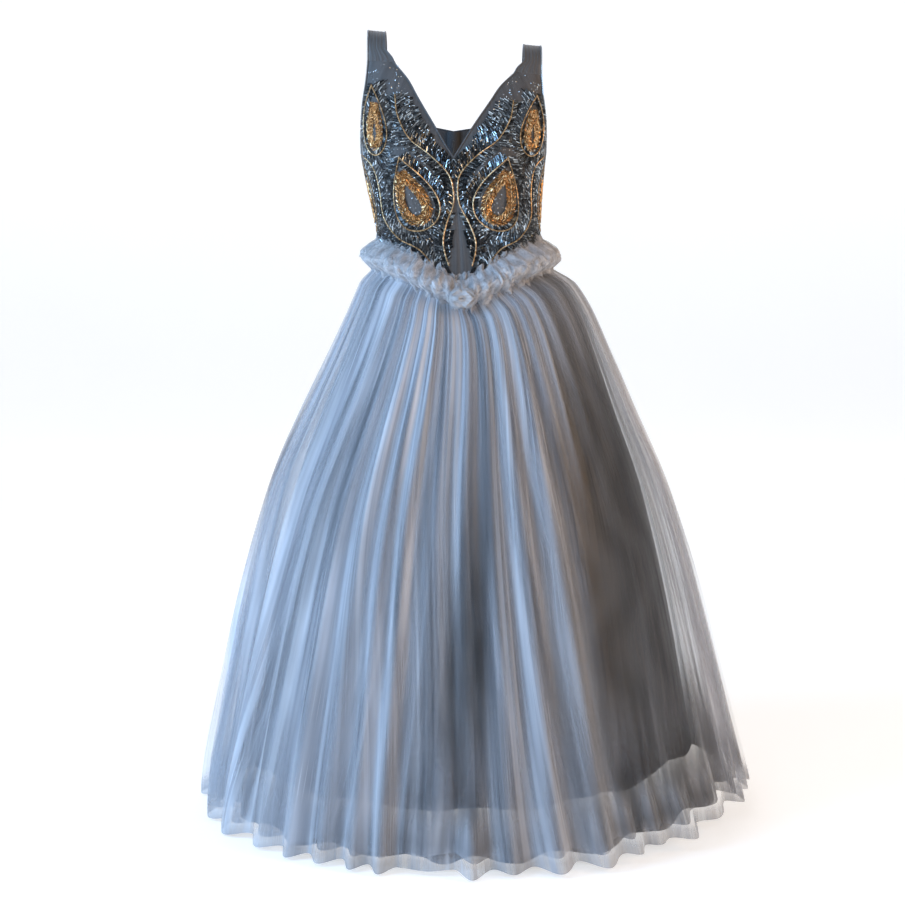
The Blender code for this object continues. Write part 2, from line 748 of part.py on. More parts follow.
def main():
    for obj in list(bpy.data.objects):
        bpy.data.objects.remove(obj)
    net = new_material("bodice_net", (0.10, 0.11, 0.12), 0.75)
    strap_net = new_material("strap_net", (0.13, 0.14, 0.155), 0.8)
    tulle = new_material("skirt_tulle", (0.60, 0.65, 0.71), 0.8)
    inner_tulle = new_material("inner_tulle", (0.42, 0.46, 0.52), 0.8)
    lining = new_material("lining_cloth", (0.14, 0.155, 0.175), 0.7)
    band = new_material("band_tulle", (0.66, 0.69, 0.73), 0.8)
    tape = new_material("zip_cloth", (0.08, 0.085, 0.095), 0.8)
    metal = new_material("zip_metal", (0.45, 0.45, 0.46), 0.35, 1.0)
    for side in (1, -1):
        front_panel(side, net)
        side_panel(side, net)
        back_panel(side, net)
        strap(side, strap_net)
        band_half(side, band)
    knot(band)
    zip_tape(tape)
    zip_hardware(metal)
    backs = [uneven_folds(number, BACK_FOLDS) for number in (1, 2)]
    around = (FRONT_FOLDS, LEFT_FOLDS, *backs, RIGHT_FOLDS)
    names = ("skirt_front", "skirt_left", "skirt_back_left", "skirt_back_right", "skirt_right")
    for name, gore in zip(names, skirt_gores(around, -180 / len(around))):
        skirt_panel(name, tulle, gore, OUTER, OUTER_ROWS)
    quarters = ("front_left", "back_left", "back_right", "front_right")
    folds = [uneven_folds(number, INNER_FOLDS) for number in (3, 4, 5, 6)]
    for name, gore in zip(quarters, skirt_gores(folds, 0)):
        skirt_panel("inner_skirt_" + name, inner_tulle, gore, INNER, INNER_ROWS)
    folds = [uneven_folds(number, LINING_FOLDS) for number in (7, 8, 9, 10)]
    for name, gore in zip(quarters, skirt_gores(folds, 0)):
        skirt_panel("lining_" + name, lining, gore, LINING, LINING_ROWS)


main()
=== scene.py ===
import math
import random

import bpy
import numpy as np
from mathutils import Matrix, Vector


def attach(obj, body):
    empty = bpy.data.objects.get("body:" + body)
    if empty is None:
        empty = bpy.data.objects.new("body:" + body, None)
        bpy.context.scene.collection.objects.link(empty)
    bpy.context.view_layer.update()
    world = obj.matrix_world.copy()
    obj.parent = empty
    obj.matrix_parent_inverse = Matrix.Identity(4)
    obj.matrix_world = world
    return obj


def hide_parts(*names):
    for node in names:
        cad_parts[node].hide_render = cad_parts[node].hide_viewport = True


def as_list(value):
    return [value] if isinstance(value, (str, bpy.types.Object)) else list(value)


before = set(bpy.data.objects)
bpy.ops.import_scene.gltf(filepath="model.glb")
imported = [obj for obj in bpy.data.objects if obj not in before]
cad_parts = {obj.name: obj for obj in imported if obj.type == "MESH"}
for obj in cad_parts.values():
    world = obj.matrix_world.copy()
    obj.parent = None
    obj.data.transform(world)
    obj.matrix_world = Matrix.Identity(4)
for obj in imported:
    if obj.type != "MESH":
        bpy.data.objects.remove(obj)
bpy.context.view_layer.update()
bpy.ops.object.select_all(action="DESELECT")

# The sides of the body, as the wearer has them, and their directions along X.
sides = {1: "left", -1: "right"}

# The sizes that the gown is cut to. Heights are above the floor, in metres.
gown = {
    "shoulder": 1.46,
    "waistSide": 1.063,
    "waistDrop": 0.071,
    "waistRounding": 0.14,
    "waistGap": 0.0008,
    "neckPoint": 1.237,
    "backNeck": 1.290,
    "armholeCorner": 1.290,
    "armholeCornerX": 0.173,
    "underarm": 1.245,
    "armholeRoundness": 2.2,
    "strapBase": 1.405,
    "tilt": 0.09,
    "tiltStart": 1.20,
}

bodiceShape = {
    "height": [0.960, 1.063, 1.130, 1.180, 1.237, 1.290, 1.350, 1.405, 1.440],
    "halfWidth": [0.160, 0.152, 0.156, 0.163, 0.172, 0.177, 0.183, 0.188, 0.190],
    "front": [0.124, 0.113, 0.112, 0.118, 0.118, 0.108, 0.090, 0.068, 0.050],
    "back": [0.112, 0.100, 0.101, 0.104, 0.108, 0.110, 0.104, 0.088, 0.070],
    "shift": [0.012, 0.010, 0.005, 0.001, -0.002, -0.002, -0.001, 0.000, 0.000],
    "power": [2.2, 2.2, 2.3, 2.3, 2.4, 2.6, 3.0, 3.2, 3.2],
}
cupShape = {"angle": 36, "height": 1.205, "wide": 21, "tall": 0.052, "depth": 0.020}

frontNeck = {
    "height": [1.237, 1.270, 1.300, 1.347, 1.376, 1.405],
    "halfWidth": [0.0, 0.020, 0.038, 0.068, 0.086, 0.113],
}
backNeck = {
    "height": [1.290, 1.300, 1.318, 1.350, 1.405],
    "halfWidth": [0.0, 0.052, 0.084, 0.105, 0.113],
}
armhole = {
    "height": [1.290, 1.330, 1.370, 1.405],
    "halfWidth": [0.173, 0.170, 0.164, 0.161],
}
frontSeam = {"height": [0.990, 1.063, 1.180, 1.237, 1.290], "angle": [33, 35, 42, 52, None]}
backSeam = {"height": [0.990, 1.063, 1.180, 1.237, 1.290], "angle": [143, 142, 136, 128, None]}


def ease(share):
    share = np.clip(share, 0.0, 1.0)
    return share * share * (3 - 2 * share)


def along(table, column, at):
    # Smooth curve through a table, whose first column rises.
    keys = np.array(next(iter(table.values())), float)
    values = np.array(table[column], float)
    slopes = np.empty(len(keys))
    slopes[1:-1] = (values[2:] - values[:-2]) / (keys[2:] - keys[:-2])
    slopes[0] = (values[1] - values[0]) / (keys[1] - keys[0])
    slopes[-1] = (values[-1] - values[-2]) / (keys[-1] - keys[-2])
    at = np.clip(at, keys[0], keys[-1])
    i = np.clip(np.searchsorted(keys, at, side="right") - 1, 0, len(keys) - 2)
    span = keys[i + 1] - keys[i]
    t = (at - keys[i]) / span
    return (
        values[i] * (1 + 2 * t) * (1 - t) ** 2
        + slopes[i] * span * t * (1 - t) ** 2
        + values[i + 1] * t * t * (3 - 2 * t)
        + slopes[i + 1] * span * t * t * (t - 1)
    )


def oval(angle, halfWidth, front, back, power):
    s = np.abs(np.sin(angle))
    c = np.cos(angle)
    depth = np.where(c > 0, front, back)
    return ((s / halfWidth) ** power + (np.abs(c) / depth) ** power) ** (-1 / power)


def outward(angle):
    return np.stack([np.sin(angle), -np.cos(angle), 0 * angle], -1)


def roundBody(radius, shift, angle, z):
    return np.stack([shift + radius * np.sin(angle), -radius * np.cos(angle), z], -1)


def waistHeight(angle):
    s = np.minimum(1.0, np.abs(np.sin(angle)))
    away = np.where(np.cos(angle) > 0, s, 1.0)
    rounded = np.hypot(away, gown["waistRounding"]) - gown["waistRounding"] * (1 - away)
    return gown["waistSide"] - gown["waistDrop"] * (1 - np.minimum(1.0, rounded))


def bodiceRadius(angle, height):
    parts = [along(bodiceShape, c, height) for c in ("halfWidth", "front", "back", "power")]
    folded = np.abs((angle + math.pi) % (2 * math.pi) - math.pi)
    turn = (folded - math.radians(cupShape["angle"])) / math.radians(cupShape["wide"])
    rise = (height - cupShape["height"]) / cupShape["tall"]
    return oval(angle, *parts) + cupShape["depth"] * np.exp(-(turn * turn + rise * rise) * 0.9)


def tiltedHeight(x, height):
    share = ease((height - gown["tiltStart"]) / (gown["shoulder"] - gown["tiltStart"]))
    return height - gown["shoulder"] - x * gown["tilt"] * share


def bodicePoint(angle, height, lift=0.0):
    # Points of the bodice, lifted outwards in plan.
    angle, height = np.broadcast_arrays(np.asarray(angle, float), np.asarray(height, float))
    radius = bodiceRadius(angle, height) + lift
    x = along(bodiceShape, "shift", height) + radius * np.sin(angle)
    return np.stack([x, -radius * np.cos(angle), tiltedHeight(x, height)], -1)


def angleAt(reach, height, back=False):
    # Angle where the bodice reaches a distance from its middle line.
    reach, height = np.broadcast_arrays(np.asarray(reach, float), np.asarray(height, float))
    low = np.full(reach.shape, math.pi / 2 if back else 0.0)
    high = low + math.pi / 2
    for _ in range(36):
        middle = (low + high) / 2
        tooFar = bodiceRadius(middle, height) * np.sin(middle) > reach
        goHigh = tooFar != back
        high = np.where(goHigh, middle, high)
        low = np.where(goHigh, low, middle)
    return (low + high) / 2


def edgeAngle(edge, height, back=False):
    return angleAt(along(edge, "halfWidth", height), height, back)


def seamAngle(seam, height):
    corner = float(angleAt(gown["armholeCornerX"], gown["armholeCorner"], seam is backSeam))
    angles = [math.degrees(corner) if a is None else a for a in seam["angle"]]
    return np.radians(along({"height": seam["height"], "angle": angles}, "angle", height))


def gathers(angle, up, seed, count, sharp, fewest=46, most=230):
    # Fine gathers, from -1 to 1: crests that wander and merge as they run down.
    chance = random.Random(seed)
    angle, up = np.broadcast_arrays(angle, up)
    total = np.zeros(angle.shape)
    weight = 0.0
    for _ in range(count):
        turns = chance.randint(fewest, most)
        size = chance.uniform(0.5, 1.0) * (fewest / turns) ** 0.55
        turn = angle * turns + chance.uniform(0, math.tau) + chance.uniform(-1.6, 1.6) * up
        turn = turn + chance.uniform(0.2, 1.1) * np.sin(3.1 * up + chance.uniform(0, math.tau))
        ridge = 1 - 2 * np.abs(np.sin(turn / 2)) ** sharp
        patch = np.sin(angle * chance.randint(2, 9) + chance.uniform(0, math.tau) + 2.2 * up)
        total += size * ridge * (0.55 + 0.45 * patch)
        weight += size
    return total / weight


foldScales = {
    "turns": [27, 43, 68, 106, 158],
    "centre": [0.00, 0.15, 0.42, 0.72, 0.97],
    "spread": [0.75, 0.70, 0.50, 0.36, 0.24],
}


def foldDrift(angle, up, seed):
    # How far the folds slant round the skirt, in radians, as they fall.
    chance = random.Random(seed)
    drift = 0.060 * np.sin(3 * angle + 2.4 * up + chance.uniform(0, math.tau))
    drift = drift + 0.026 * np.sin(7 * angle - 3.3 * up + chance.uniform(0, math.tau))
    return drift + 0.009 * np.sin(17 * angle + 5.2 * up + chance.uniform(0, math.tau))


def tulleFolds(angle, up, seed):
    # Soft folds, about -1 to 1: fine gathers at the waist that merge into broad waves below.
    chance = random.Random(seed)
    drift = foldDrift(angle, up, seed + 1)
    total, weight = 0.0, 0.0
    for turns, centre, spread in zip(*foldScales.values()):
        share = np.exp(-(((up - centre) / spread) ** 2)) * turns**-0.6
        for _ in range(3):
            count = round(turns * chance.uniform(0.82, 1.2))
            turn = (angle + drift) * count + chance.uniform(0, math.tau) + chance.uniform(-2.4, 2.4) * up
            turn = turn + chance.uniform(0.3, 1.3) * np.sin(2.7 * up + chance.uniform(0, math.tau))
            patch = np.sin(angle * chance.randint(2, 7) + chance.uniform(0, math.tau) + 2 * up)
            ridge = 1 - 2 * np.abs(np.sin(turn / 2)) ** 1.2
            total = total + share * np.clip(0.5 + 0.9 * patch, 0, 1) * ridge
        weight = weight + share
    return total / (1.6 * weight)


def crumple(across, up, seed, shortest=0.013, longest=0.040):
    # Puffs with sharp creases between them, about -1 to 1, over a sheet in metres.
    chance = random.Random(seed)
    moved = across + 0.004 * np.sin(up * 90 + chance.uniform(0, 6)) + 0.005 * np.sin(across * 75)
    total, weight = 0.0, 0.0
    for _ in range(10):
        wave = chance.uniform(shortest, longest)
        way = chance.uniform(-0.95, 0.95)
        turn = math.pi * (moved * math.cos(way) + up * math.sin(way)) / wave + chance.uniform(0, math.tau)
        turn = turn + 0.9 * np.sin(across * chance.uniform(20, 60) + chance.uniform(0, math.tau))
        total = total + wave * (np.abs(np.sin(turn)) - 0.64) * 2
        weight += wave
    return total / weight * 2.2


def meshFromArrays(name, verts, faces, material, smooth=True):
    # A mesh from arrays of points and equal-sized faces.
    mesh = bpy.data.meshes.new(name)
    count, corners = faces.shape
    mesh.vertices.add(len(verts))
    mesh.vertices.foreach_set("co", np.ascontiguousarray(verts, np.float32).ravel())
    mesh.loops.add(count * corners)
    mesh.loops.foreach_set("vertex_index", np.ascontiguousarray(faces, np.int32).ravel())
    mesh.polygons.add(count)
    mesh.polygons.foreach_set("loop_start", np.arange(0, count * corners, corners, dtype=np.int32))
    mesh.polygons.foreach_set("use_smooth", np.full(count, smooth))
    mesh.update(calc_edges=True)
    mesh.materials.append(material)
    piece = bpy.data.objects.new(name, mesh)
    bpy.context.scene.collection.objects.link(piece)
    return piece


def addMask(piece, name, values):
    attribute = piece.data.attributes.new(name, "FLOAT", "POINT")
    attribute.data.foreach_set("value", np.ascontiguousarray(values, np.float32).ravel())


def clothGrid(name, grid, material, uv, **masks):
    # A sheet of cloth from points [column, row, xyz], with a UV map in metres and masks.
    columns, rows = grid.shape[:2]
    index = np.arange(columns * rows).reshape(columns, rows)
    faces = np.stack([index[:-1, :-1], index[1:, :-1], index[1:, 1:], index[:-1, 1:]], -1)
    faces = faces.reshape(-1, 4)
    piece = meshFromArrays(name, grid.reshape(-1, 3), faces, material)
    layer = piece.data.uv_layers.new(name="cloth")
    layer.data.foreach_set("uv", uv.reshape(-1, 2)[faces.ravel()].astype(np.float32).ravel())
    for mask, values in masks.items():
        addMask(piece, mask, np.broadcast_to(values, (columns, rows)))
    return piece


def rolledEdge(name, path, radius, material):
    # A narrow rolled binding along a closed path.
    tangent = np.roll(path, -1, axis=0) - np.roll(path, 1, axis=0)
    tangent /= np.linalg.norm(tangent, axis=1, keepdims=True)
    first = np.cross(tangent, path * [1, 1, 0])
    first /= np.linalg.norm(first, axis=1, keepdims=True)
    second = np.cross(tangent, first)
    turn = np.linspace(0, math.tau, 9)
    ring = first[:, None] * np.cos(turn)[None, :, None] + second[:, None] * np.sin(turn)[None, :, None]
    grid = path[:, None] + ring * radius
    grid = np.concatenate([grid, grid[:1]])
    length = np.concatenate([[0], np.cumsum(np.linalg.norm(np.diff(grid[:, 0], axis=0), axis=1))])
    uv = np.stack(np.meshgrid(length, turn * radius, indexing="ij"), -1)
    return clothGrid(name, grid, material, uv)


def place(piece, slot, *nodes):
    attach(piece, "gown")
    if nodes:
        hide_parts(*nodes)
    return piece


# Shared finishes. Each group puts out masks and colours only.


def newGroup(name, inputs, outputs):
    group = bpy.data.node_groups.new(name, "ShaderNodeTree")
    for socket, value in inputs:
        made = group.interface.new_socket(socket, in_out="INPUT", socket_type="NodeSocketFloat")
        made.default_value = value
    for socket in outputs:
        group.interface.new_socket(socket, in_out="OUTPUT", socket_type="NodeSocketFloat")
    return group, group.nodes.new("NodeGroupInput"), group.nodes.new("NodeGroupOutput")


def feed(tree, socket, value):
    if isinstance(value, tuple):
        socket.default_value = (*value, 1.0) if socket.type == "RGBA" else value
    elif isinstance(value, (int, float)):
        socket.default_value = value
    else:
        tree.links.new(value, socket)


def addNode(tree, kind, output=0, inputs=None, **settings):
    # A shader node with its settings and inputs, and the output that is wanted from it.
    node = tree.nodes.new("ShaderNode" + kind)
    for name, value in settings.items():
        setattr(node, name, value)
    for socket, value in (inputs or {}).items():
        feed(tree, node.inputs[socket], value)
    return node.outputs[output]


def mathNode(tree, operation, *values):
    return addNode(tree, "Math", 0, dict(enumerate(values)), operation=operation)


def times(tree, first, second):
    return mathNode(tree, "MULTIPLY", first, second)


def rangeNode(tree, value, fromLow, fromHigh, toLow, toHigh):
    names = ("Value", "From Min", "From Max", "To Min", "To Max")
    values = (value, fromLow, fromHigh, toLow, toHigh)
    return addNode(tree, "MapRange", "Result", dict(zip(names, values)))


def mixColours(tree, factor, first, second):
    return addNode(tree, "Mix", 2, {0: factor, 6: first, 7: second}, data_type="RGBA")


def noiseNode(tree, vector, scale, detail=3.0, roughness=0.5):
    inputs = {"Vector": vector, "Scale": scale, "Detail": detail, "Roughness": roughness}
    return addNode(tree, "TexNoise", 0, inputs)


def uvParts(tree):
    split = tree.nodes.new("ShaderNodeSeparateXYZ")
    tree.links.new(addNode(tree, "UVMap", uv_map="cloth"), split.inputs[0])
    return split.outputs[0], split.outputs[1]


def netThreadsGroup():
    # Fine net: a thread mask from two sets of crossed lines on the UV map.
    group, given, put = newGroup("netThreads", [("Pitch", 0.0015), ("Thread", 0.35)], ["Mask"])
    across, up = uvParts(group)
    lines = []
    for sign in (1.0, -1.0):
        slanted = mathNode(group, "MULTIPLY_ADD", up, sign, across)
        wave = mathNode(group, "PINGPONG", mathNode(group, "DIVIDE", slanted, given.outputs["Pitch"]), 1.0)
        lines.append(rangeNode(group, wave, given.outputs["Thread"], 0.0, 0.0, 1.0))
    group.links.new(mathNode(group, "MAXIMUM", *lines), put.inputs["Mask"])
    return group


def gatherStreaksGroup():
    # Long uneven streaks down the cloth, as gathered tulle shows, fine lines and soft clouds.
    sockets = [("Across", 90.0), ("Down", 1.1), ("Seed", 0.0)]
    group, given, put = newGroup("gatherStreaks", sockets, ["Streak", "Line", "Cloud"])
    across, up = uvParts(group)
    given = given.outputs
    parts = {0: times(group, across, given["Across"]), 1: times(group, up, given["Down"]), 2: given["Seed"]}
    spot = addNode(group, "CombineXYZ", 0, parts)
    streak = noiseNode(group, spot, 1.0, 2.0, 0.66)
    thin = addNode(group, "VectorMath", 0, {0: spot, 1: (4.3, 0.7, 1.0)}, operation="MULTIPLY")
    line = noiseNode(group, thin, 1.0, 0.0)
    line = mathNode(group, "ABSOLUTE", mathNode(group, "SUBTRACT", line, 0.5))
    group.links.new(rangeNode(group, line, 0.0, 0.018, 1.0, 0.0), put.inputs["Line"])
    wander = times(group, mathNode(group, "SINE", times(group, up, 23.0)), 2.4)
    cloud = mathNode(group, "SINE", mathNode(group, "MULTIPLY_ADD", across, 41.0, wander))
    group.links.new(rangeNode(group, streak, 0.38, 0.70, 0.0, 1.0), put.inputs["Streak"])
    group.links.new(rangeNode(group, cloud, -0.9, 0.9, 0.0, 1.0), put.inputs["Cloud"])
    return group


netThreads = netThreadsGroup()
gatherStreaks = gatherStreaksGroup()


def newMaterial(name, values):
    material = bpy.data.materials.new(name)
    material.use_nodes = True
    shader = material.node_tree.nodes["Principled BSDF"]
    for socket, value in values.items():
        shader.inputs[socket].default_value = value
    return material, material.node_tree, shader


def placeGroup(tree, group, **values):
    node = tree.nodes.new("ShaderNodeGroup")
    node.node_tree = group
    for name, value in values.items():
        node.inputs[name].default_value = value
    return node.outputs


def maskNode(tree, name):
    return addNode(tree, "Attribute", "Fac", attribute_name=name)


def objectSpace(tree):
    return addNode(tree, "TexCoord", "Object")


def bumpNode(tree, shader, height, strength, distance):
    inputs = {"Strength": strength, "Distance": distance, "Height": height}
    tree.links.new(addNode(tree, "Bump", 0, inputs), shader.inputs["Normal"])


def tulleMaterial(name, look):
    # Sheer tulle. The veil mask says how closely its gathers lie, and streaks vary it.
    values = {"Roughness": 0.62, "Specular IOR Level": 0.25, "Sheen Weight": 0.35, "Sheen Roughness": 0.45}
    material, tree, shader = newMaterial(name, values)
    streaks = placeGroup(tree, gatherStreaks, Across=look["across"], Down=look["down"], Seed=look["seed"])
    net = placeGroup(tree, netThreads, Pitch=0.0018, Thread=0.42)
    streak = streaks["Streak"]
    gain = rangeNode(tree, streak, 0.0, 1.0, look["thin"], look["thick"])
    gain = times(tree, gain, rangeNode(tree, net["Mask"], 0.0, 1.0, 0.92, 1.08))
    clear = mathNode(tree, "POWER", mathNode(tree, "SUBTRACT", 1.0, maskNode(tree, "veil")), gain)
    alpha = mathNode(tree, "SUBTRACT", 1.0, clear)
    lines = times(tree, streaks["Line"], streaks["Cloud"])
    seen = mathNode(tree, "MINIMUM", 1.0, times(tree, maskNode(tree, "veil"), 5.0))
    seen = times(tree, seen, look["lines"])
    alpha = mathNode(tree, "MULTIPLY_ADD", lines, seen, alpha)
    tree.links.new(mathNode(tree, "MINIMUM", alpha, look["most"]), shader.inputs["Alpha"])
    # Painted highlight: the streaks and fine lines lighten the tulle towards its bright colour.
    lit = mathNode(tree, "MAXIMUM", streak, times(tree, lines, 0.8))
    tone = mixColours(tree, lit, look["colour"], look["bright"])
    # Painted shade: soft bands down the cloth darken the tulle towards its shade colour.
    cloudShade = times(tree, streaks["Cloud"], 0.2)
    tone = mixColours(tree, cloudShade, tone, look["shade"])
    # Painted shade: a mask darkens the tulle towards near black near the hem, in the band's hollows and
    # over the knot.
    tone = mixColours(tree, maskNode(tree, "dusk"), tone, (0.045, 0.050, 0.058))
    tree.links.new(tone, shader.inputs["Base Color"])
    return material


outerLook = {
    "colour": (0.45, 0.48, 0.55), "bright": (0.78, 0.81, 0.88), "shade": (0.36, 0.37, 0.41), "lines": 0.30,
    "across": 34.0, "down": 0.8, "seed": 0.0, "thin": 0.45, "thick": 1.75, "most": 0.92,
}
innerLook = {
    "colour": (0.17, 0.19, 0.23), "bright": (0.38, 0.41, 0.47), "shade": (0.12, 0.13, 0.15), "lines": 0.10,
    "across": 26.0, "down": 1.0, "seed": 4.0, "thin": 0.5, "thick": 1.5, "most": 0.95,
}
bandLook = {
    "colour": (0.52, 0.54, 0.58), "bright": (0.80, 0.80, 0.83), "shade": (0.46, 0.44, 0.44), "lines": 0.10,
    "across": 60.0, "down": 40.0, "seed": 9.0, "thin": 0.8, "thick": 1.3, "most": 0.97,
}
tulle = tulleMaterial("skirtTulle", outerLook)
innerTulle = tulleMaterial("innerTulle", innerLook)
bandTulle = tulleMaterial("bandTulle", bandLook)


def liningMaterial():
    # Charcoal lining with a slight sheen and faint rumples.
    material, tree, shader = newMaterial("liningCloth", {"Roughness": 0.48, "Sheen Weight": 0.12})
    streaks = placeGroup(tree, gatherStreaks, Across=34.0, Down=3.0, Seed=7.0)
    weave = placeGroup(tree, netThreads, Pitch=0.0007, Thread=0.6)
    # The lining is lighter and darker in soft bands down the cloth.
    banded = mixColours(tree, streaks["Cloud"], (0.018, 0.020, 0.024), (0.042, 0.046, 0.053))
    tone = mixColours(tree, times(tree, weave["Mask"], 0.06), banded, (0.085, 0.09, 0.10))
    tree.links.new(tone, shader.inputs["Base Color"])
    bumpNode(tree, shader, streaks["Streak"], 0.3, 0.004)
    return material


def bodiceNetMaterial(name, colour, thread, alpha):
    # Dark slate net over a matching ground, with gathers' shading and a fine mesh.
    material, tree, shader = newMaterial(name, {"Roughness": 0.6, "Sheen Weight": 0.4})
    net = placeGroup(tree, netThreads, Pitch=0.0014, Thread=0.5)
    streaks = placeGroup(tree, gatherStreaks, Across=210.0, Down=9.0, Seed=2.0)
    ground = mixColours(tree, streaks["Streak"], colour, tuple(c * 2.1 for c in colour))
    tone = mixColours(tree, times(tree, net["Mask"], 0.55), ground, thread)
    tree.links.new(tone, shader.inputs["Base Color"])
    if alpha < 1:
        gain = rangeNode(tree, streaks["Streak"], 0.0, 1.0, alpha, min(1.0, alpha + 0.25))
        tree.links.new(mathNode(tree, "MAXIMUM", gain, net["Mask"]), shader.inputs["Alpha"])
    bumpNode(tree, shader, net["Mask"], 0.35, 0.0005)
    return material


liningCloth = liningMaterial()
bodiceNet = bodiceNetMaterial("bodiceNet", (0.034, 0.033, 0.034), (0.125, 0.122, 0.125), 1.0)
strapNet = bodiceNetMaterial("strapNet", (0.034, 0.033, 0.034), (0.125, 0.122, 0.125), 0.86)
edgeNet = bodiceNetMaterial("edgeBinding", (0.045, 0.048, 0.055), (0.11, 0.115, 0.125), 1.0)


def beadMaterial(name, dark, light, roughness, metallic):
    # Beads: each one's own tone, with gloss. The pale tones are partly the beads' own and partly painted
    # glints.
    values = {"Roughness": roughness, "Metallic": metallic, "Coat Weight": 0.5, "Coat Roughness": 0.06}
    material, tree, shader = newMaterial(name, values)
    tree.links.new(mixColours(tree, maskNode(tree, "tone"), dark, light), shader.inputs["Base Color"])
    grain = noiseNode(tree, objectSpace(tree), 900.0)
    gloss = rangeNode(tree, grain, 0.3, 0.7, roughness * 0.7, roughness * 1.5)
    tree.links.new(gloss, shader.inputs["Roughness"])
    return material


bugleGlass = beadMaterial("bugleGlass", (0.026, 0.030, 0.035), (0.70, 0.79, 0.84), 0.15, 0.85)
goldBead = beadMaterial("goldBead", (0.34, 0.20, 0.085), (0.86, 0.62, 0.36), 0.24, 0.95)
goldSequin = beadMaterial("goldSequin", (0.36, 0.19, 0.07), (0.95, 0.62, 0.30), 0.22, 0.92)
crystal = beadMaterial("crystal", (0.55, 0.62, 0.66), (0.93, 0.96, 0.98), 0.08, 0.7)


def zipMetalMaterial():
    material, tree, shader = newMaterial("zipMetal", {"Roughness": 0.3, "Metallic": 0.9})
    grain = noiseNode(tree, objectSpace(tree), 1500.0, 4.0)
    tone = mixColours(tree, grain, (0.30, 0.30, 0.31), (0.52, 0.52, 0.53))
    tree.links.new(tone, shader.inputs["Base Color"])
    tree.links.new(rangeNode(tree, grain, 0.3, 0.7, 0.22, 0.42), shader.inputs["Roughness"])
    bumpNode(tree, shader, grain, 0.15, 0.0001)
    return material


def tapeMaterial():
    material, tree, shader = newMaterial("zipTapeCloth", {"Roughness": 0.75})
    weave = placeGroup(tree, netThreads, Pitch=0.0008, Thread=0.7)
    tone = mixColours(tree, weave["Mask"], (0.035, 0.037, 0.042), (0.10, 0.105, 0.115))
    tree.links.new(tone, shader.inputs["Base Color"])
    bumpNode(tree, shader, weave["Mask"], 0.5, 0.0003)
    return material


zipMetal = zipMetalMaterial()
tapeCloth = tapeMaterial()
print("finishes made")

# The skirt. Its folds are those of the solids, with fine gathers of their own.
skirtShape = {
    "drop": [0, 0.035, 0.093, 0.190, 0.304, 0.420, 0.537, 0.655, 0.773, 0.893, 1.013, 1.080],
    "halfWidth": [0.153, 0.190, 0.226, 0.272, 0.325, 0.378, 0.418, 0.452, 0.482, 0.511, 0.538, 0.543],
    "roundShare": [0.72, 0.80, 0.85, 0.89, 0.92, 0.94, 0.96, 0.97, 0.99, 1.01, 1.03, 1.03],
    "shift": [0.010, 0.020, 0.029, 0.030, 0.027, 0.026, 0.028, 0.031, 0.034, 0.037, 0.042, 0.044],
}
skirtMake = {
    "seamBlend": 0.060,
    "hemRise": 0.040,
    "hemLift": 0.010,
    "tallestFold": 1.2,
    "foldAtSeam": 0.12,
    "foldStart": 0.030,
    "layerGap": 0.002,
    "fullness": 0.54,
    "solidWall": 0.0022,
    "hemHeight": [0.000, 0.035, 0.115],
    "foldDepth": [0.034, 0.026, 0.014],
    "clearance": [0.008, 0.026, 0.000],
}


def unevenFolds(number, count):
    chance = random.Random(11 + number)
    return [(chance.uniform(8, 12), chance.uniform(0.7, 1.1)) for _ in range(count)]


goreFolds = {
    "front": [(8, 0.9), (6, 0.8), (6, 0.9), (11, 0.3), (8, 1.1), (8, 0.7), (9, 1.0), (10, 1.2), (6, 0.5)],
    "left": [(6, 0.4), (10, 1.0), (14, 0.6), (8, 1.1), (8, 0.9), (8, 1.1), (8, 0.9), (10, 0.8)],
    "back_left": unevenFolds(1, 7),
    "back_right": unevenFolds(2, 7),
    "right": [(12, 0.9), (11, 1.1), (9, 0.8), (10, 0.9), (12, 1.1), (11, 1.0), (7, 0.9)],
}
quarterNames = ("front_left", "back_left", "back_right", "front_right")
innerFolds = {name: unevenFolds(3 + i, 5) for i, name in enumerate(quarterNames)}
liningFolds = {name: unevenFolds(7 + i, 3) for i, name in enumerate(quarterNames)}


def foldSwell(folds, start, width, angle):
    # 0 in the valleys between folds, up to each fold's own share at its top.
    wide = np.array([f[0] for f in folds], float)
    tall = np.array([f[1] for f in folds], float)
    edges = np.radians(start + np.concatenate([[0], np.cumsum(wide)]) * width / wide.sum())
    i = np.clip(np.searchsorted(edges, angle, side="right") - 1, 0, len(folds) - 1)
    local = (angle - edges[i]) / (edges[i + 1] - edges[i])
    return tall[i] * (1 - np.cos(2 * math.pi * local)) / 2


def skirtCone(angle, drop, seam):
    # The skirt out to the tops of its folds: radius, sideways shift, and share off the seam.
    halfWidth = along(skirtShape, "halfWidth", drop)
    deep = halfWidth * along(skirtShape, "roundShare", drop)
    leave = ease(drop / skirtMake["seamBlend"])
    radius = bodiceRadius(angle, seam) * (1 - leave) + oval(angle, halfWidth, deep, deep, 2.0) * leave
    shift = along(bodiceShape, "shift", seam)
    return radius, shift + (along(skirtShape, "shift", drop) - shift) * leave, leave


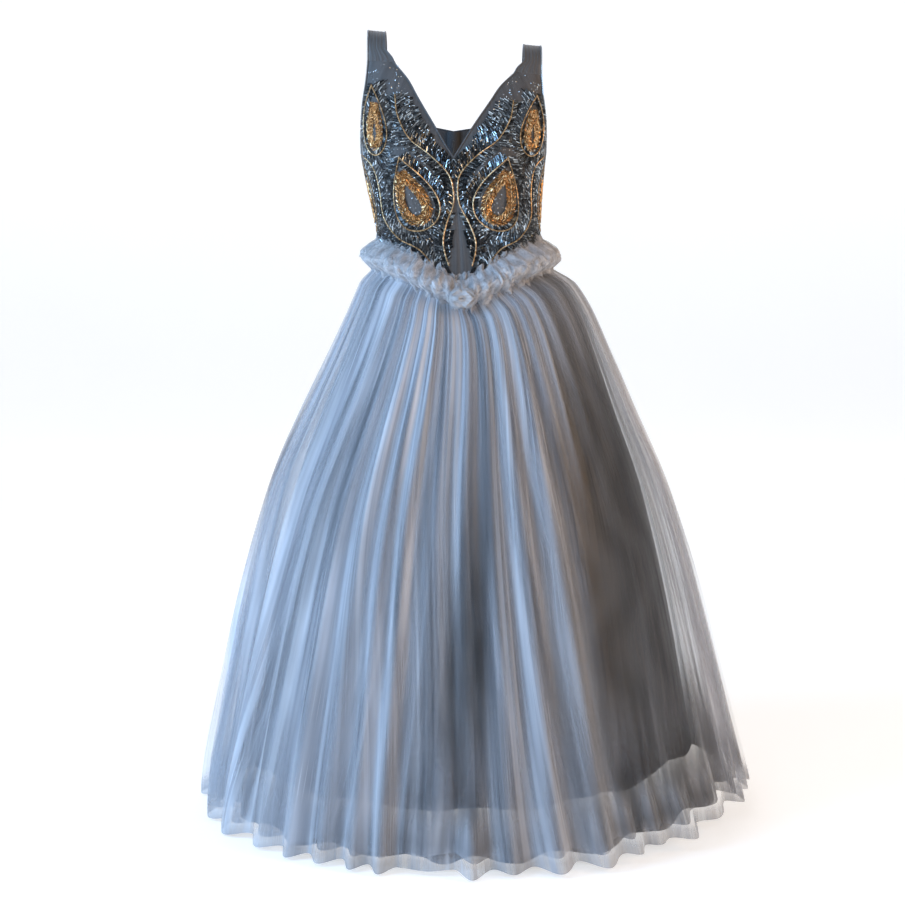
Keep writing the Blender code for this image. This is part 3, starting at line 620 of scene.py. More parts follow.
def skirtGrid(folds, start, width, angles, ups, look):
    # Points of one gore of one layer, and how closely its cloth lies there.
    layer = look["layer"]
    angle, up = np.meshgrid(angles, ups, indexing="ij")
    seam = waistHeight(angle) - gown["waistGap"]
    swell = foldSwell(folds, start, width, angle) / skirtMake["tallestFold"]
    rise = skirtMake["hemRise"] * np.maximum(0.0, np.sin(angle)) ** 2
    hem = skirtMake["hemHeight"][layer] + skirtMake["hemLift"] * (1 - swell) + rise
    ragged = 0.5 + 0.5 * gathers(angle, 0.0, look["seed"] + 5, 5, 1.0, 5, 40)
    hem = hem + look["shorter"] + look["raggedHem"] * ragged
    height = hem + (seam - hem) * up
    drop = seam - height
    reach = drop / seam
    smooth, shift, leave = skirtCone(angle, drop, seam)
    opening = ease(drop / skirtMake["foldStart"])
    grow = (skirtMake["foldAtSeam"] + (1 - skirtMake["foldAtSeam"]) * np.minimum(1.0, reach)) * opening
    radius = smooth - skirtMake["foldDepth"][layer] * grow * (1 - swell)
    for outer in range(layer):
        radius = radius - skirtMake["foldDepth"][outer] * grow - skirtMake["solidWall"]
        radius = radius - skirtMake["layerGap"] * opening - skirtMake["clearance"][outer] * reach
    radius = radius - look["inside"] * (0.15 + 0.85 * reach) * leave
    fine = tulleFolds(angle, up, look["seed"])
    radius = radius + look["fine"] * (0.22 + 0.78 * reach) * leave * fine
    grid = roundBody(radius, shift, angle, height - gown["shoulder"])
    tangent = np.gradient(grid, axis=0)
    straight = np.abs(tangent[..., 0] * np.cos(angle) + tangent[..., 1] * np.sin(angle))
    facing = straight / np.maximum(1e-9, np.linalg.norm(tangent[..., :2], axis=-1))
    plies = (skirtMake["fullness"] / smooth) ** look["crowd"] / np.maximum(0.25, facing)
    piled = look["piled"] * np.exp(-np.clip((height - hem) / look["pileHeight"], 0, 4) ** 3)
    return grid, 1 - (1 - look["veil"]) ** plies, piled, angle, height


# Layer counts the solids' skirts from outside. Veil is how much one ply hides, and piled how much more
# the hem's last stretch hides, where painted shade darkens it. Fine gathers lie on the solids' folds.
skirtLayers = {
    "outer": {
        "layer": 0, "seed": 21, "fine": 0.0085, "inside": 0.0, "shorter": 0.0, "raggedHem": 0.006,
        "piled": 0.66, "pileHeight": 0.026, "dusk": 1.0, "veil": 0.20, "crowd": 0.8,
        "columns": 250, "rows": 96,
    },
    "under": {
        "layer": 0, "seed": 37, "fine": 0.0090, "inside": 0.013, "shorter": 0.010, "raggedHem": 0.030,
        "piled": 0.72, "pileHeight": 0.060, "dusk": 1.2, "veil": 0.16, "crowd": 0.8,
        "columns": 170, "rows": 70,
    },
    "inner": {
        "layer": 1, "seed": 53, "fine": 0.0060, "inside": 0.0, "shorter": -0.026, "raggedHem": 0.012,
        "piled": 0.99, "pileHeight": 0.175, "dusk": 1.25, "veil": 0.30, "crowd": 0.6,
        "columns": 150, "rows": 60,
    },
    "lining": {
        "layer": 2, "seed": 71, "fine": 0.0030, "inside": 0.0, "shorter": -0.040, "raggedHem": 0.024,
        "piled": 0.0, "pileHeight": 0.1, "dusk": 0.0, "veil": 0.999, "crowd": 0.1,
        "columns": 96, "rows": 48,
    },
}

# How closely each tulle lies at angles from the centre front, as the gathers are drawn apart.
density = {
    "angle": [-180, -100, -75, -45, -30, -20, -12, -6, -3, 4, 8, 12, 22, 30, 36, 62, 72, 85, 100, 180],
    "outer": [0.9, 0.95, 1.3, 1.55, 1.5, 1.3, 0.9, 0.5, 0.15, 0.15, 0.8, 1.15, 0.85, 0.4, 0.05, 0.05,
              0.4, 0.9, 0.95, 0.9],
    "inner": [0.9, 1.1, 1.25, 1.35, 1.2, 1.1, 0.8, 0.4, 0.08, 0.08, 0.7, 1.0, 0.9, 0.4, 0.04, 0.04,
              0.3, 0.7, 0.8, 0.9],
    "fadeFrom": {"left": 0.95, "right": 0.70},
    "fadeOver": 0.35,
    "atWaist": 0.25,
    "waistThin": 0.86,
}


def closeness(kind, angle, up):
    # The gathers lie evenly at the waist and draw apart further down.
    turn = (np.degrees(angle) + 180) % 360 - 180 + 6 * np.sin(3 * up + 1.2) - 3
    table = np.interp(turn, density["angle"], density["inner" if kind == "inner" else "outer"])
    begins = np.where(turn > 12, density["fadeFrom"]["left"], density["fadeFrom"]["right"])
    drawn = ease((begins - up) / density["fadeOver"])
    table = table ** (density["atWaist"] + (1 - density["atWaist"]) * drawn)
    return table * (density["waistThin"] + (1 - density["waistThin"]) * drawn)


def swaths(angle, up, seed):
    # Broad bands where the tulle lies closer or thinner, slanting more than its folds.
    chance = random.Random(seed + 2)
    moved = angle + 2.4 * foldDrift(angle, up, seed + 9)
    bands = sum(size * np.sin(moved * turns + chance.uniform(0, math.tau)) for turns, size in
                ((11, 0.8), (19, 1.0), (31, 0.9), (47, 0.6)))
    return np.exp(0.30 * bands)


def skirtSheets(kind, stem, folds, start, finish, rests, nodeStem=None):
    look = skirtLayers[kind]
    width = 360 / len(folds)
    for i, (name, goreTable) in enumerate(folds.items()):
        begin = start + i * width
        angles = np.radians(np.linspace(begin, begin + width, look["columns"]))
        ups = np.linspace(0, 1, look["rows"]) ** 0.9
        grid, veil, piled, angle, height = skirtGrid(goreTable, begin, width, angles, ups, look)
        if kind != "lining":
            veil = veil * closeness(kind, angle, ups[None, :])
            veil = np.clip(veil * swaths(angle, ups[None, :], look["seed"]), 0, 0.97)
            veil = 1 - (1 - veil) * (1 - np.minimum(piled, 0.99))
        drift = foldDrift(angle, ups[None, :], look["seed"] + 1)
        uv = np.stack([(angle + drift) * 0.5, height], -1)
        # Painted shade: the hem's piled stretch is darkened, more at some places round the skirt than at
        # others.
        dusk = look["dusk"] * piled * (0.78 + 0.22 * np.sin(9 * angle + 2 * np.sin(4 * angle)))
        piece = clothGrid(stem + name, grid, finish[0], uv, veil=veil, dusk=dusk)
        place(piece, finish[1], *([nodeStem + name] if nodeStem else []))
        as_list(rests(name))
    print(stem, "made")


waistOf = ["bodice_front_left", "bodice_front_right"]
skirtSheets("outer", "outer_tulle_", goreFolds, -36, (tulle, "skirt_tulle"),
            lambda name: waistOf, "skirt_")
skirtSheets("under", "under_tulle_", goreFolds, -36, (tulle, "skirt_tulle"),
            lambda name: ["outer_tulle_" + name])
skirtSheets("inner", "inner_tulle_", innerFolds, 0, (innerTulle, "inner_tulle"),
            lambda name: ["lining_" + name], "inner_skirt_")
skirtSheets("lining", "lining_cloth_", liningFolds, 0, (liningCloth, "lining_cloth"),
            lambda name: waistOf, "lining_")

# The bodice: six net panels on the solids' own surface, with dips along the seams.
panelMake = {"columns": 46, "rows": 84, "pointFade": 1.5, "seamDip": 0.0011, "seamWide": 0.004}


def rowHeight(angle, base):
    rise = (base - gown["waistSide"]) / (gown["neckPoint"] - gown["waistSide"])
    fade = np.maximum(0.0, 1 - rise) ** panelMake["pointFade"]
    return base + (waistHeight(angle) - gown["waistSide"]) * fade


def underarmHeight(share):
    # The armhole's lower edge, from one shaped seam to the other.
    dip = np.abs(2 * share - 1) ** gown["armholeRoundness"]
    return gown["underarm"] + (gown["armholeCorner"] - gown["underarm"]) * dip


def panelAngles(part, base):
    # Where a panel starts and ends at each row.
    below = base <= gown["armholeCorner"]
    if part == "front":
        start = np.where(base <= gown["neckPoint"], 0.0, edgeAngle(frontNeck, base))
        return start, np.where(below, seamAngle(frontSeam, base), edgeAngle(armhole, base))
    if part == "back":
        start = np.where(below, seamAngle(backSeam, base), edgeAngle(armhole, base, True))
        return start, np.where(base <= gown["backNeck"], math.pi, edgeAngle(backNeck, base, True))
    return seamAngle(frontSeam, base), seamAngle(backSeam, base)


def bodicePanel(part, side):
    top = gown["armholeCorner"] if part == "side" else gown["strapBase"]
    base = np.linspace(gown["waistSide"], top, panelMake["rows"])
    start, end = panelAngles(part, base)
    across = np.linspace(0, 1, panelMake["columns"])[:, None]
    angle = start + (end - start) * across
    height = rowHeight(angle, base)
    if part == "side":
        low = waistHeight(angle)
        height = low + (height - low) * (underarmHeight(across) - low) / (gown["armholeCorner"] - low)
    fromSeam = np.minimum(across, 1 - across) * (end - start) * bodiceRadius(angle, height)
    dipIn = -panelMake["seamDip"] * np.exp(-((fromSeam / panelMake["seamWide"]) ** 2))
    rumple = 0.0006 * gathers(angle * side, height * 3, 91, 5, 1.4, 20, 90) * ease(fromSeam / 0.02)
    grid = bodicePoint(angle * side, height, dipIn + rumple)
    uv = np.stack([angle * 0.15, height], -1)
    if side < 0:
        grid, uv = grid[::-1], uv[::-1]
    piece = clothGrid(f"net_{part}_{sides[side]}", grid, bodiceNet, uv)
    return place(piece, "bodice_net", f"bodice_{part}_{sides[side]}")


panelCuts = {"front": ((0.18, 0.42), 0.042), "side": ((0.29, 0.24), 0.053), "back": ((0.14, 0.36), 0.033)}
for side in sides:
    for part, (flat, area) in panelCuts.items():
        piece = bodicePanel(part, side)
print("bodice panels made")

# The straps: gathered net over the shoulders.
strapMake = {
    "inner": 0.130, "baseInner": 0.113, "outer": 0.161, "narrowing": 0.14, "roundness": 0.9,
    "cloth": 0.0018, "columns": 30, "rows": 72, "gather": 0.0006, "clear": 0.00015, "edgeEase": 0.08,
}


def strapGrid(side):
    base = gown["strapBase"] + strapMake["clear"]
    rise = gown["shoulder"] + strapMake["cloth"] - gown["strapBase"]
    shares = [np.linspace(0, 1, strapMake[n]) for n in ("columns", "rows")]
    across, over = np.meshgrid(*shares, indexing="ij")
    nearBase = 1 - ease(np.minimum(over, 1 - over) / strapMake["narrowing"])
    inner = strapMake["inner"] + (strapMake["baseInner"] - strapMake["inner"]) * nearBase
    x = inner + (strapMake["outer"] - inner) * across
    depths = [-bodiceRadius(a, base) * np.cos(a) for a in (angleAt(x, base), angleAt(x, base, True))]
    turn = math.pi * over
    y = np.where(over > 0.5, depths[1], depths[0]) * np.abs(np.cos(turn))
    height = base + rise * np.maximum(0.0, np.sin(turn)) ** strapMake["roundness"]
    grid = np.stack([side * x, y, tiltedHeight(side * x, height)], -1)
    normal = np.cross(np.gradient(grid, axis=0), np.gradient(grid, axis=1)) * side
    normal /= np.maximum(1e-12, np.linalg.norm(normal, axis=-1, keepdims=True))
    pleats = np.sin(across * 31 + 0.8 * np.sin(over * 5)) * 0.6 + np.sin(across * 57 + 1.3 * over) * 0.4
    pleats = pleats * strapMake["gather"] * ease(np.minimum(across, 1 - across) / strapMake["edgeEase"])
    return grid + normal * pleats[..., None], across, over


strapGrids = {side: strapGrid(side) for side in sides}
for side, sideName in sides.items():
    grid, across, over = strapGrids[side]
    uv = np.stack([across * 0.045, over * 0.2], -1)
    if side < 0:
        grid, uv = grid[::-1], uv[::-1]
    piece = place(clothGrid(f"net_strap_{sideName}", grid, strapNet, uv), "strap_net", f"strap_{sideName}")


edgeMake = {"neckPoints": 60, "armPoints": 40, "neckRadius": 0.0013, "armRadius": 0.0012}


def neckPath():
    points = edgeMake["neckPoints"]
    front, back = (np.linspace(gown[n], gown["strapBase"], points) for n in ("neckPoint", "backNeck"))
    frontAngle, backAngle = edgeAngle(frontNeck, front), edgeAngle(backNeck, back, True)
    halves = []
    for side in sides:
        strapEdge = strapGrids[side][0][0, 1:-1]
        backEdge = bodicePoint(side * backAngle, back)[::-1]
        halves.append(np.vstack([bodicePoint(side * frontAngle, front), strapEdge, backEdge]))
    return np.vstack([halves[0], halves[1][::-1][1:-1]])


def armholePath(side):
    edge = np.linspace(gown["armholeCorner"], gown["strapBase"], edgeMake["armPoints"])
    corner = np.array(gown["armholeCorner"])
    share = np.linspace(1, 0, edgeMake["neckPoints"])[1:-1]
    first, last = float(seamAngle(frontSeam, corner)), float(seamAngle(backSeam, corner))
    front = bodicePoint(side * edgeAngle(armhole, edge), edge)
    back = bodicePoint(side * edgeAngle(armhole, edge, True), edge)[::-1]
    under = bodicePoint(side * (first + (last - first) * share), underarmHeight(share))
    return np.vstack([front, strapGrids[side][0][-1, 1:-1], back, under])


place(rolledEdge("binding_neck", neckPath(), edgeMake["neckRadius"], edgeNet), "bodice_net")
for side, sideName in sides.items():
    binding = rolledEdge(f"binding_armhole_{sideName}", armholePath(side), edgeMake["armRadius"], edgeNet)
    place(binding, "bodice_net")
print("straps and bindings made")

# The band: ruched tulle round the waist, and frills that stand out of its edges.
bandMake = {
    "top": 0.021, "bottom": 0.029, "bulge": 0.024, "wave": 0.0015, "scallop": 0.0015, "waves": 20,
    "clear": 0.0022, "columns": 420, "rows": 20, "radius": 0.16,
    "creaseTall": 0.055, "creaseWide": (0.009, 0.034),
    "wanderTall": 0.04, "wanderWide": (0.012, 0.040), "wanderAside": 0.003,
}


def bandPoint(angle, up):
    wave = np.cos(angle * 2 * bandMake["waves"] + 0.5 * np.sin(3 * angle))
    seam = waistHeight(angle)
    low = seam - bandMake["bottom"] - bandMake["scallop"] * wave
    high = seam + bandMake["top"] + bandMake["scallop"] * wave
    radius, shift, _ = skirtCone(angle, seam - gown["waistGap"] - low, seam - gown["waistGap"])
    lower = roundBody(radius, shift, angle, low - gown["shoulder"])
    bulge = (bandMake["bulge"] + bandMake["wave"] * wave) * np.sin(math.pi * np.clip(up, 0, 1))
    mixed = lower + (bodicePoint(angle, high) - lower) * up[..., None]
    return mixed + outward(angle) * (bandMake["clear"] + bulge)[..., None]


ruffles = {
    "puff": {"from": 0.0, "to": 1.0, "swell": 0.000, "crease": 0.0065, "lift": 0.0030, "seed": 101,
             "veil": 0.80, "cut": 0.080},
    "frill_high": {"from": 0.42, "to": 1.22, "swell": 0.005, "crease": 0.0070, "lift": 0.0050, "seed": 131,
                   "veil": 0.45, "cut": 0.055},
    "frill_low": {"from": -0.20, "to": 0.50, "swell": 0.004, "crease": 0.0070, "lift": 0.0060, "seed": 151,
                  "veil": 0.55, "cut": 0.045},
}


def ruffle(name, side, make):
    shares = np.linspace(make["from"], make["to"], bandMake["rows"])
    angle, up = np.meshgrid(side * np.linspace(0, math.pi, bandMake["columns"]), shares, indexing="ij")
    sideways = np.stack([np.cos(angle), np.sin(angle), 0 * angle], -1)
    share = (up - make["from"]) / (make["to"] - make["from"])
    arch = np.sin(math.pi * np.clip(share, 0, 1))
    around = angle * bandMake["radius"]
    crease = crumple(around, up * bandMake["creaseTall"], make["seed"], *bandMake["creaseWide"])
    wander = crumple(around + 0.3, up * bandMake["wanderTall"], make["seed"] + 3, *bandMake["wanderWide"])
    free = 0.35 + 0.65 * np.abs(2 * share - 1) if make["swell"] else arch**0.5
    puff = make["swell"] * arch + make["crease"] * crease * free
    grid = bandPoint(angle, up) + outward(angle) * puff[..., None]
    grid[..., 2] += make["lift"] * wander * free
    grid += sideways * (bandMake["wanderAside"] * wander * free)[..., None]
    uv = np.stack([angle * 0.4, up * 0.12], -1)
    veil = make["veil"] * (0.85 + 0.25 * crease)
    if side < 0:
        grid, uv, veil = grid[::-1], uv[::-1], veil[::-1]
    # Painted shade: the band darkens in the hollows between its puffs, most in the middle of each frill's
    # height.
    dusk = 0.16 * (1 - crease) * arch
    return clothGrid(name, grid, bandTulle, uv, veil=veil, dusk=dusk if side > 0 else dusk[::-1])


for side, sideName in sides.items():
    for kind, make in ruffles.items():
        piece = ruffle(f"band_{kind}_{sideName}", side, make)
        place(piece, "band_tulle", *(["waist_band_" + sideName] if kind == "puff" else []))

knotMake = {
    "wide": 0.046, "tall": 0.021, "deep": 0.009, "pinch": 0.25, "pinchWide": 0.35, "puff": 0.0040,
    "columns": 160, "rows": 48,
}


def bandKnot():
    # The small gathered knot at the band's point: a crumpled roll pinched in its middle.
    turns, lengths = np.linspace(0, math.tau, knotMake["columns"]), np.linspace(-1, 1, knotMake["rows"])
    turn, length = np.meshgrid(turns, lengths, indexing="ij")
    pinched = 1 - knotMake["pinch"] * np.exp(-((length / knotMake["pinchWide"]) ** 2))
    full = pinched * np.sqrt(np.clip(1.04 - length**2, 0, 1))
    away = np.abs((turn + math.pi) % math.tau - math.pi)
    puff = knotMake["puff"] * crumple(away * 0.016, length * 0.023, 171, 0.006, 0.016) * np.sqrt(full)
    centre = bandPoint(np.array([0.0]), np.array([0.5]))[0]
    x = centre[0] + knotMake["wide"] / 2 * length + 0.6 * puff
    y = centre[1] - knotMake["deep"] * 0.8 - (knotMake["deep"] * full + puff) * np.cos(turn)
    z = centre[2] - 0.006 + (knotMake["tall"] * full + puff) * np.sin(turn)
    uv = np.stack([away * 0.016, length * 0.023], -1)
    # Painted shade darkens the whole knot a little.
    return clothGrid("band_knot", np.stack([x, y, z], -1), bandTulle, uv, veil=0.85, dusk=0.3)


knotSheet = place(bandKnot(), "band_tulle", "waist_knot")
print("band made")

# The zip: its tapes. The slider and pull stay the frame's own.
zipMake = {
    "wide": 0.024, "thick": 0.0012, "end": 0.955, "rows": 60, "inside": 0.0023, "insideWaist": 0.0066,
    "insideSkirt": 0.006, "easeFrom": 0.004, "easeOver": 0.035,
}


def zipPoint(across, height, deeper):
    angle = math.pi - across / bodiceRadius(math.pi + 0 * height, height)
    low = 1 - ease((height - gown["waistSide"] - zipMake["easeFrom"]) / zipMake["easeOver"])
    below = ease((gown["waistSide"] - height) / zipMake["easeOver"] * 2)
    inside = zipMake["inside"] + (zipMake["insideWaist"] - zipMake["inside"]) * low
    inside = inside + zipMake["insideSkirt"] * below
    return bodicePoint(angle, height) - outward(angle) * (inside + deeper)[..., None]


def zipTapes():
    heights = np.linspace(zipMake["end"], gown["backNeck"], zipMake["rows"])
    outline = np.array([[1, 0], [0.04, 0], [0, 0.3], [-0.04, 0], [-1, 0], [-1, 1], [0, 1], [1, 1], [1, 0]])
    across, height = np.meshgrid(outline[:, 0] * zipMake["wide"] / 2, heights, indexing="ij")
    deeper = np.repeat(outline[:, 1:] * zipMake["thick"], len(heights), axis=1)
    uv = np.stack([across, height], -1)
    return clothGrid("zip_tapes", zipPoint(across, height, deeper), tapeCloth, uv)


place(zipTapes(), "zip_cloth", "zip_tape")
print("zip made")


# Beadwork. Motifs are drawn on the bodice's own arc length and height, left and right alike. The table
# holds arc lengths round from the centre front, by height and angle.
arcMake = {"lowest": 0.985, "rows": 106, "angles": 361, "step": 0.0006, "radius": 0.14}


def arcTable():
    heights = np.linspace(arcMake["lowest"], gown["strapBase"], arcMake["rows"])
    angles = np.radians(np.linspace(0, 180, arcMake["angles"]))
    points = bodicePoint(angles[None, :], heights[:, None])[..., :2]
    steps = np.linalg.norm(np.diff(points, axis=1), axis=-1)
    return heights, angles, np.concatenate([np.zeros((len(heights), 1)), np.cumsum(steps, axis=1)], axis=1)


arcHeights, arcAngles, arcLengths = arcTable()


def throughArcs(values, height, toAngle):
    # Angle from arc length round from the centre front at a height, or the other way.
    values, height = np.broadcast_arrays(np.abs(np.asarray(values, float)), np.asarray(height, float))
    row = np.clip((height - arcHeights[0]) / (arcHeights[1] - arcHeights[0]), 0, len(arcHeights) - 1.001)
    low = row.astype(int)
    made = np.zeros(values.shape)
    for i in np.unique(low):
        at = low == i
        share = (row - low)[at]
        pairs = [(arcLengths[k], arcAngles) if toAngle else (arcAngles, arcLengths[k]) for k in (i, i + 1)]
        first, second = (np.interp(values[at], *pair) for pair in pairs)
        made[at] = first * (1 - share) + second * share
    return made


def onBodice(arc, height, lift):
    # Point and frame (along the arc, up, outward) at signed arc lengths and heights.
    side = np.where(arc < 0, -1.0, 1.0)
    step = arcMake["step"]
    angle = side * throughArcs(arc, height, True)
    here = bodicePoint(angle, height)
    east = bodicePoint(angle + step / arcMake["radius"], height) - here
    east /= np.linalg.norm(east, axis=-1, keepdims=True)
    north = bodicePoint(side * throughArcs(arc, height + step, True), height + step) - here
    north -= east * np.sum(north * east, axis=-1, keepdims=True)
    north /= np.linalg.norm(north, axis=-1, keepdims=True)
    out = np.cross(east, north)
    return here + out * np.asarray(lift)[..., None], east, north, out


def evenly(line, spacing):
    length = np.concatenate([[0], np.cumsum(np.linalg.norm(np.diff(line, axis=0), axis=1))])
    at = np.arange(0, length[-1], spacing)
    return np.stack([np.interp(at, length, line[:, 0]), np.interp(at, length, line[:, 1])], -1)


def vineLine(points, spacing):
    # Even steps along a smooth curve through a few points.
    points = np.array(points, float)
    padded = np.vstack([2 * points[0] - points[1], points, 2 * points[-1] - points[-2]])
    t = np.linspace(0, 1, 40, endpoint=False)[:, None]
    pieces = []
    for a, b, c, d in zip(padded, padded[1:], padded[2:], padded[3:]):
        bend = (2 * a - 5 * b + 4 * c - d) * t**2 + (3 * b - a - 3 * c + d) * t**3
        pieces.append(0.5 * (2 * b + (c - a) * t + bend))
    return evenly(np.vstack([*pieces, points[-1:]]), spacing)


def teardrop(centre, halfWide, halfTall, lean, curl, spacing, pinch=1.2):
    # A paisley drop: round at its foot, with a tip that curls over.
    turn = np.linspace(0, math.tau, 241)
    x = halfWide * np.sin(turn) * np.abs(np.sin(turn / 2)) ** pinch
    y = halfTall * np.cos(turn)
    x = x + curl * ((y + halfTall) / (2 * halfTall)) ** 2.2
    c, s = math.cos(math.radians(lean)), math.sin(math.radians(lean))
    return evenly(np.stack([centre[0] + x * c + y * s, centre[1] - x * s + y * c], -1), spacing)


beadMake = {
    "bugleLong": 0.0085, "bugleRadius": 0.00080, "goldLong": 0.0046, "goldRadius": 0.00085,
    "cordStep": 0.0024, "cordRadius": 0.0015, "tipRadius": 0.0013, "tipShare": 0.16, "tipAway": 0.62,
    "rowStep": 0.0080, "firstRow": 0.0052, "rows": 5, "slant": 60, "slantStep": 6, "crowd": 0.0012,
    "cell": 0.0019, "yokeTop": 1.372, "neckMargin": 0.014, "aboveBand": 0.022, "zipSide": 176,
    "spearWide": 0.021, "spearTop": 1.172, "spearTall": 0.13, "ringStep": 0.0032, "ringEdge": 0.0015,
    "ringUneven": 0.0004, "sequins": 2600, "sequinRadius": 0.0010, "sequinReach": 0.21,
}
# Each kind's lift off the net, share of dark beads, how rare its brightest are (partly painted glints), and
# its unevenness.
beadLooks = {
    "bugle_beads": {"lift": 0.0014, "dark": 0.58, "rare": 1.4, "tilts": 0.12, "sizes": 0.12},
    "gold_cord_beads": {"lift": 0.0020, "dark": 0.1, "rare": 1.0, "tilts": 0.0, "sizes": 0.15},
    "gold_bugles": {"lift": 0.0010, "dark": 0.25, "rare": 1.2, "tilts": 0.22, "sizes": 0.15},
    "crystal_beads": {"lift": 0.0017, "dark": 0.2, "rare": 0.8, "tilts": 0.0, "sizes": 0.0},
    "net_sparkles": {"lift": 0.0009, "dark": 0.3, "rare": 1.0, "tilts": 0.5, "sizes": 0.0},
}

# Motifs on the wearer's left. (arc length, height) in metres.
drops = [
    {"centre": (0.086, 1.170), "halfWide": 0.060, "halfTall": 0.068, "lean": 24, "curl": -0.014},
    {"centre": (0.152, 1.302), "halfWide": 0.040, "halfTall": 0.060, "lean": -6, "curl": 0.010},
    {"centre": (0.215, 1.165), "halfWide": 0.042, "halfTall": 0.064, "lean": 10, "curl": -0.010},
    {"centre": (0.325, 1.180), "halfWide": 0.050, "halfTall": 0.072, "lean": -14, "curl": 0.012},
]
rings = [
    ({"centre": (0.086, 1.166), "halfWide": 0.031, "halfTall": 0.046, "lean": 24, "curl": -0.006}, 0.019),
    ({"centre": (0.152, 1.294), "halfWide": 0.016, "halfTall": 0.037, "lean": -6, "curl": 0.003}, 0.015),
    ({"centre": (0.214, 1.158), "halfWide": 0.016, "halfTall": 0.036, "lean": 10, "curl": -0.003}, 0.013),
    ({"centre": (0.325, 1.170), "halfWide": 0.022, "halfTall": 0.038, "lean": -14, "curl": 0.004}, 0.015),
]
vines = [
    [(0.004, 1.006), (0.022, 1.042), (0.030, 1.082), (0.020, 1.120), (0.006, 1.152), (0.005, 1.186),
     (0.014, 1.212), (0.046, 1.244), (0.082, 1.272), (0.104, 1.312), (0.110, 1.350)],
    [(0.040, 1.026), (0.075, 1.068), (0.118, 1.090), (0.150, 1.128), (0.158, 1.180), (0.172, 1.222),
     (0.205, 1.243)],
    [(0.250, 1.086), (0.264, 1.130), (0.268, 1.180), (0.262, 1.226), (0.255, 1.250)],
    [(0.385, 1.090), (0.392, 1.150), (0.388, 1.210), (0.370, 1.262), (0.345, 1.300), (0.330, 1.340)],
]


def plainNet(arc, height):
    # Where the net is left without beads.
    angle = throughArcs(arc, height, True)
    arcs = {}
    for name, edge, back in (("neck", frontNeck, False), ("backNeck", backNeck, True),
                             ("hole", armhole, False), ("backHole", armhole, True)):
        arcs[name] = throughArcs(edgeAngle(edge, height, back), height, False)
    margin = beadMake["neckMargin"] * np.clip((height - 1.225) / 0.04, 0.25, 1)
    neck = (height > gown["neckPoint"]) & (arc - arcs["neck"] < margin)
    backEdge = (height > gown["backNeck"]) & (arcs["backNeck"] - arc < beadMake["neckMargin"])
    corner = np.array(gown["armholeCorner"])
    hole = (height > corner) & (arc > arcs["hole"] - 0.002) & (arc < arcs["backHole"] + 0.002)
    first, last = float(seamAngle(frontSeam, corner)), float(seamAngle(backSeam, corner))
    share = np.clip((angle - first) / (last - first), 0, 1)
    under = (share > 0) & (share < 1) & (height <= corner + 0.001)
    under &= height > underarmHeight(share) - 0.003
    low = height < waistHeight(angle) + beadMake["aboveBand"]
    rise = (beadMake["spearTop"] - height) / beadMake["spearTall"]
    spear = arc < beadMake["spearWide"] * np.clip(rise, 0, 1)
    farBack = angle > math.radians(beadMake["zipSide"])
    return spear | neck | backEdge | hole | under | low | farBack | (height > beadMake["yokeTop"])


def insideLoop(points, loop):
    inside = np.zeros(len(points), bool)
    for (x1, y1), (x2, y2) in zip(loop, np.roll(loop, -1, axis=0)):
        crosses = (y1 > points[:, 1]) != (y2 > points[:, 1])
        if crosses.any():
            inside ^= crosses & (points[:, 0] < x1 + (points[:, 1] - y1) * (x2 - x1) / (y2 - y1))
    return inside


def nearest(points, line):
    gap = np.full(len(points), 9.0)
    for i in range(0, len(line), 200):
        away = np.linalg.norm(points[:, None, :] - line[None, i:i + 200, :], axis=-1)
        gap = np.minimum(gap, away.min(axis=1))
    return gap


def unit(vectors):
    return vectors / np.linalg.norm(vectors, axis=-1, keepdims=True)


def lineFrame(line):
    ahead = unit(np.gradient(line, axis=0))
    return ahead, np.stack([-ahead[:, 1], ahead[:, 0]], -1)


cords = [teardrop(spacing=beadMake["cordStep"], **d) for d in drops]
cords += [vineLine(v, beadMake["cordStep"]) for v in vines]
ringLoops = [(teardrop(spacing=0.002, **make), wide) for make, wide in rings]
allCords = np.vstack(cords)
chance = np.random.default_rng(5)


def bugleRows():
    # Bugles set like a feather's barbs in rows beside each cord, each in its own cord's area.
    made = []
    for cord in cords:
        ahead, across = lineFrame(cord)
        for sideways in (1, -1):
            for row in range(beadMake["rows"]):
                away = beadMake["firstRow"] + row * beadMake["rowStep"]
                slant = math.radians(beadMake["slant"] + beadMake["slantStep"] * row)
                spot = cord + across * sideways * away
                aim = ahead * math.cos(slant) + across * sideways * math.sin(slant)
                alone = nearest(spot, allCords) > away - beadMake["crowd"]
                made.append(np.hstack([spot, aim])[alone])
    return np.vstack(made)


def thinOut(beads, cell):
    # Keeps the first bead in each small cell and drops those that crowd it.
    taken, kept = set(), []
    for i, (x, y) in enumerate(np.floor(beads[:, :2] / cell).astype(int)):
        if (x, y) not in taken:
            taken.add((x, y))
            kept.append(i)
    return beads[kept]


bugles = bugleRows()
keep = ~plainNet(bugles[:, 0], bugles[:, 1]) & (bugles[:, 0] > 0.001)
for loop, wide in ringLoops:
    keep &= ~insideLoop(bugles[:, :2], loop) & (nearest(bugles[:, :2], loop) > wide / 2 + 0.002)
bugles = thinOut(bugles[keep], beadMake["cell"])
print("bugles on a side:", len(bugles))


def prismShape(corners, radius, length):
    turn = np.arange(corners) * math.tau / corners
    ring = np.stack([0 * turn, radius * np.cos(turn), radius * np.sin(turn)], -1)
    verts = np.vstack([ring - [length / 2, 0, 0], ring + [length / 2, 0, 0]])
    faces = []
    for i in range(corners):
        j = (i + 1) % corners
        faces += [(j + corners, i + corners, i), (j, j + corners, i)]
    for i in range(1, corners - 1):
        faces += [(i + 1, i, 0), (corners + i, corners + i + 1, corners)]
    return verts, np.array(faces)


